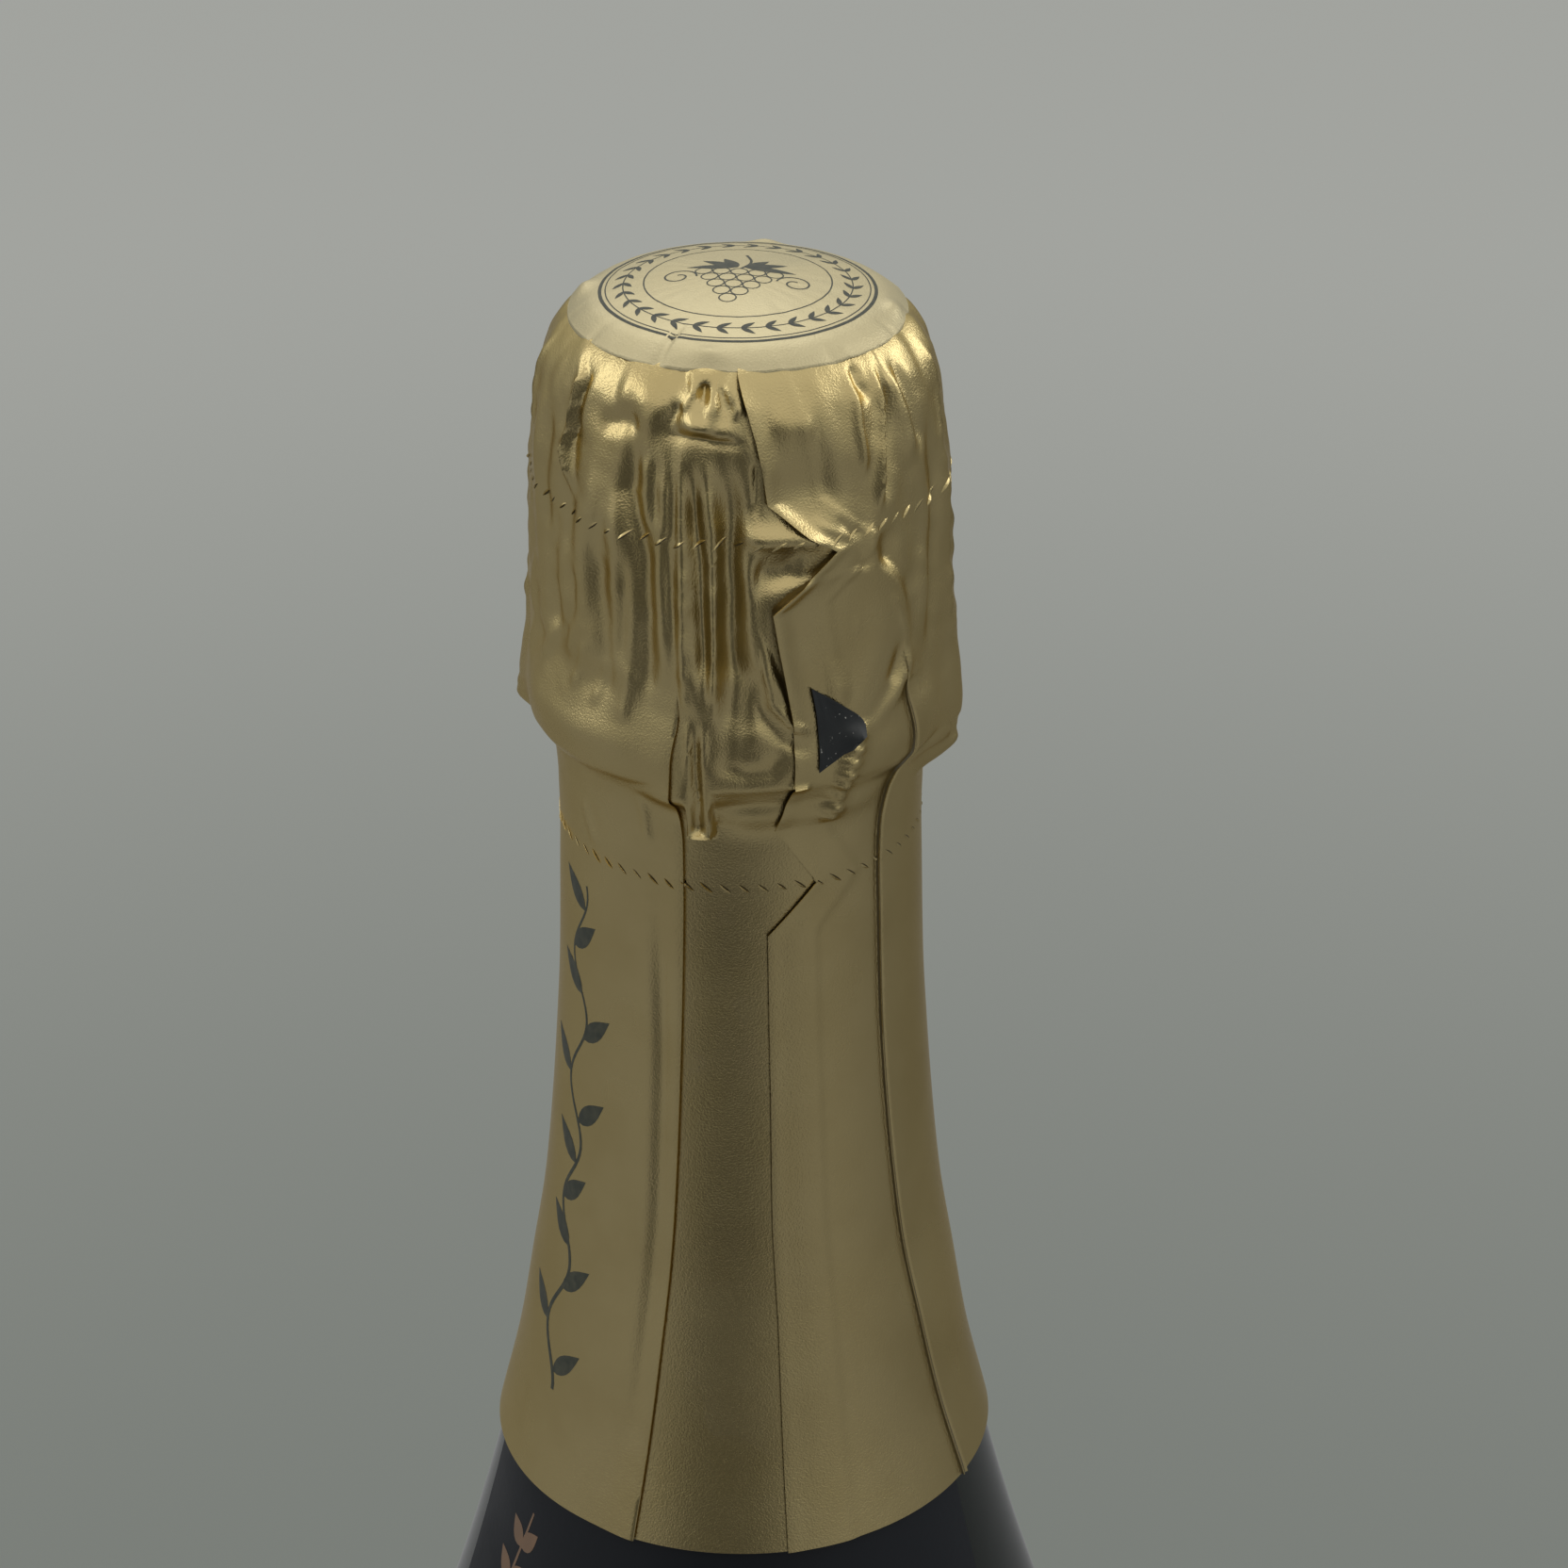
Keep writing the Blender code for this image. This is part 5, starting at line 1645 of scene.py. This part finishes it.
def round_neck(radius, angle, height):
    """Points in mm from radii, angles in degrees and heights."""
    turn = np.radians(angle)
    return np.stack(np.broadcast_arrays(radius * np.sin(turn), -radius * np.cos(turn), height), axis=-1)


def under_foil(points):
    """Keeps the middle of a wire far enough under the foil that lies on it."""
    kept = []
    for x, y, z in points:
        radius, angle = math.hypot(x, y), math.degrees(math.atan2(x, -y))
        z = min(z, float(crown_height(np.array(min(radius, crown_radius)), np.array(angle))) - foil_gap)
        if z < foil_top - 0.6:
            limit = min(Vector(foil_face(angle + turn, z)).xy.length for turn in foil_gap_angles)
            limit = limit / MM - foil_gap
            x, y = (side * min(1.0, limit / radius) for side in (x, y))
        kept.append((x, y, z))
    return np.array(kept)


def tubes(name, paths, radius, material, closed=False):
    """One piece of round wire along each path of points in mm. Open ends are capped with a cone."""
    points, faces = [], []
    for path in paths:
        path = np.array(path, float)
        ahead = np.roll(path, -1, axis=0) - np.roll(path, 1, axis=0)
        if not closed:
            ahead[0], ahead[-1] = path[1] - path[0], path[-1] - path[-2]
        ahead /= np.linalg.norm(ahead, axis=1)[:, None]
        side = np.cross(ahead[0], (0.3, 0.2, 0.93))
        first, count = len(points), len(path)
        for middle, forward in zip(path, ahead):
            side = side - forward * np.dot(side, forward)
            side /= np.linalg.norm(side)
            up = np.cross(forward, side)
            for step in range(wire_sides):
                turn = math.tau * step / wire_sides
                points.append((middle + radius * (math.cos(turn) * side + math.sin(turn) * up)) * MM)
        for ring in range(count if closed else count - 1):
            low, high = first + ring * wire_sides, first + (ring + 1) % count * wire_sides
            shift = 0
            if closed and ring == count - 1:
                gaps = [np.linalg.norm(points[low] - points[high + step]) for step in range(wire_sides)]
                shift = int(np.argmin(gaps))
            for step in range(wire_sides):
                after = (step + 1) % wire_sides
                a, b = high + (after + shift) % wire_sides, high + (step + shift) % wire_sides
                faces.append((low + step, low + after, a, b))
        if not closed:
            for end, ring, outward in ((path[0], 0, -ahead[0]), (path[-1], count - 1, ahead[-1])):
                points.append((end + outward * radius * wire_tip_share) * MM)
                tip, low = len(points) - 1, first + ring * wire_sides
                for step in range(wire_sides):
                    face = (low + step, low + (step + 1) % wire_sides, tip)
                    faces.append(face if ring else face[::-1])
    mesh = bpy.data.meshes.new(name)
    mesh.from_pydata([tuple(point) for point in points], [], faces)
    return finished(name, mesh, material, 60)


def strands(middle, across, outward, turn, offset):
    """Two wires side by side along the middle line, twisted round it by the turn at each point."""
    swing = np.cos(turn)[:, None] * across + np.sin(turn)[:, None] * outward
    return middle + offset * swing, middle - offset * swing


galvanised, tree, shader = principled("galvanised_wire", wire_grey, 0.34, 1.0)
tree.links.new(patchy(tree, 500.0, 4.0, 0.3, 0.8, *wire_roughness), shader.inputs["Roughness"])
dulled = patchy(tree, 900.0, 4.0, 0.5, 0.8)
tree.links.new(mixed(tree, dulled, wire_grey, wire_dull), shader.inputs["Base Color"])
grained(tree, shader, 3500.0, 2.0, 0.00002, 0.5)

cage_paths = []
for leg, raised, shown in legs:
    line = smooth_line(leg_line, leg_steps)
    bearing = math.radians(leg)
    outward = np.array((math.sin(bearing), -math.cos(bearing), 0.0))
    across = np.array((math.cos(bearing), math.sin(bearing), 0.0))
    middle = line[:, :1] * outward + line[:, 1:] * upright
    twisting = np.clip(twist_starts - line[:, 1], 0, None)
    turns = round((twist_starts - eyelet_top) / leg_pitch * 2) / 2
    turn = math.tau * turns * smooth_step(twisting, -0.001, twist_starts - eyelet_top) * leg_slow_twist
    turn = turn + math.tau * turns * twisting / (twist_starts - eyelet_top) * (1 - leg_slow_twist)
    first, second = strands(middle, across, outward, turn, wire_radius)
    foot = eyelet_foot + (free_eyelet_rise if shown == 1.0 else 0.0) + max(raised, 0) * shown
    length = eyelet_top - foot
    loop = []
    for step in range(1, eyelet_steps):
        share = 0.5 - 0.5 * math.cos(math.tau * step / eyelet_steps)
        swell = math.sin(math.tau * min(step, eyelet_steps - step) / eyelet_steps)
        swell = min(1.0, swell * eyelet_fullness)
        side = wire_radius + (eyelet_half_width - wire_radius) * swell
        side *= 1 if step < eyelet_steps / 2 else -1
        bend = math.sin(math.pi * step / eyelet_steps) ** 8
        side *= 1 - bend**2
        height = eyelet_top - length * share
        leaning = eyelet_lean * float(smooth_step(height, eyelet_lean_starts, eyelet_foot))
        spot = outward * (eyelet_radius - leaning) + across * side
        loop.append((spot[0], spot[1], height))
    if np.dot(first[-1], across) < 0:
        first, second = second, first
    leg_path = np.vstack((first, loop, second[::-1]))
    cage_paths.append(under_foil(leg_path))
cage = tubes("cage_legs", cage_paths, wire_radius, galvanised)
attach(cage, "cage")
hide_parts("cage_wire")
ring_angles = np.linspace(0, 360, 96, endpoint=False)
ring_line = round_neck(top_ring_radius, ring_angles, top_ring_height)
ring = tubes("cage_top_ring", [ring_line], wire_radius, galvanised, True)
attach(ring, "cage")

belt_angles = np.linspace(0, 360, 360, endpoint=False)
belt_line = round_neck(belt_radius + belt_reach * belt_stand_out(belt_angles), belt_angles, belt_height)
belt = tubes("belt_ring", [under_foil(belt_line)], wire_radius, galvanised, True)
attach(belt, "cage")
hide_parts("belt_wire")

key_bearing = math.radians(key_angle)
key_outward = np.array((math.sin(key_bearing), -math.cos(key_bearing), 0.0))
key_across = np.array((math.cos(key_bearing), math.sin(key_bearing), 0.0))
reach = np.linspace(*key_root_reach, 16)
root_line = reach[:, None] * key_outward + belt_height * upright
root_turn = math.tau * (reach - key_root_reach[1]) / key_pitch
root_paths = strands(root_line, key_across, upright, root_turn, key_twist_radius)
root = tubes("key_foot_twist", root_paths, key_twist_radius, galvanised)
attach(root, "key_twist")
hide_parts("key_root")

rise = np.linspace(*key_stem_heights, 24)
stem_line = key_radius * key_outward + rise[:, None] * upright
stem_turn = math.tau * (rise - key_stem_heights[1]) / key_pitch
first, second = strands(stem_line, key_across, key_outward, stem_turn, key_twist_radius)
loop = []
for step in range(1, key_loop_steps):
    turn = math.tau * step / key_loop_steps
    share = 0.5 - 0.5 * math.cos(turn)
    taper = key_ring_narrow_share + (1 - key_ring_narrow_share) * share
    side = key_loop_half_width * math.sin(turn) * taper / key_radius
    height = key_loop_foot + key_loop_length * share
    loop.append(round_neck(key_loop_radius, key_angle + math.degrees(side), height))
key_path = np.vstack((first, loop, second[::-1]))
key = tubes("key_loop", [under_foil(key_path)], key_wire_radius, galvanised)
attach(key, "key")
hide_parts("key_stem", "key_ring")
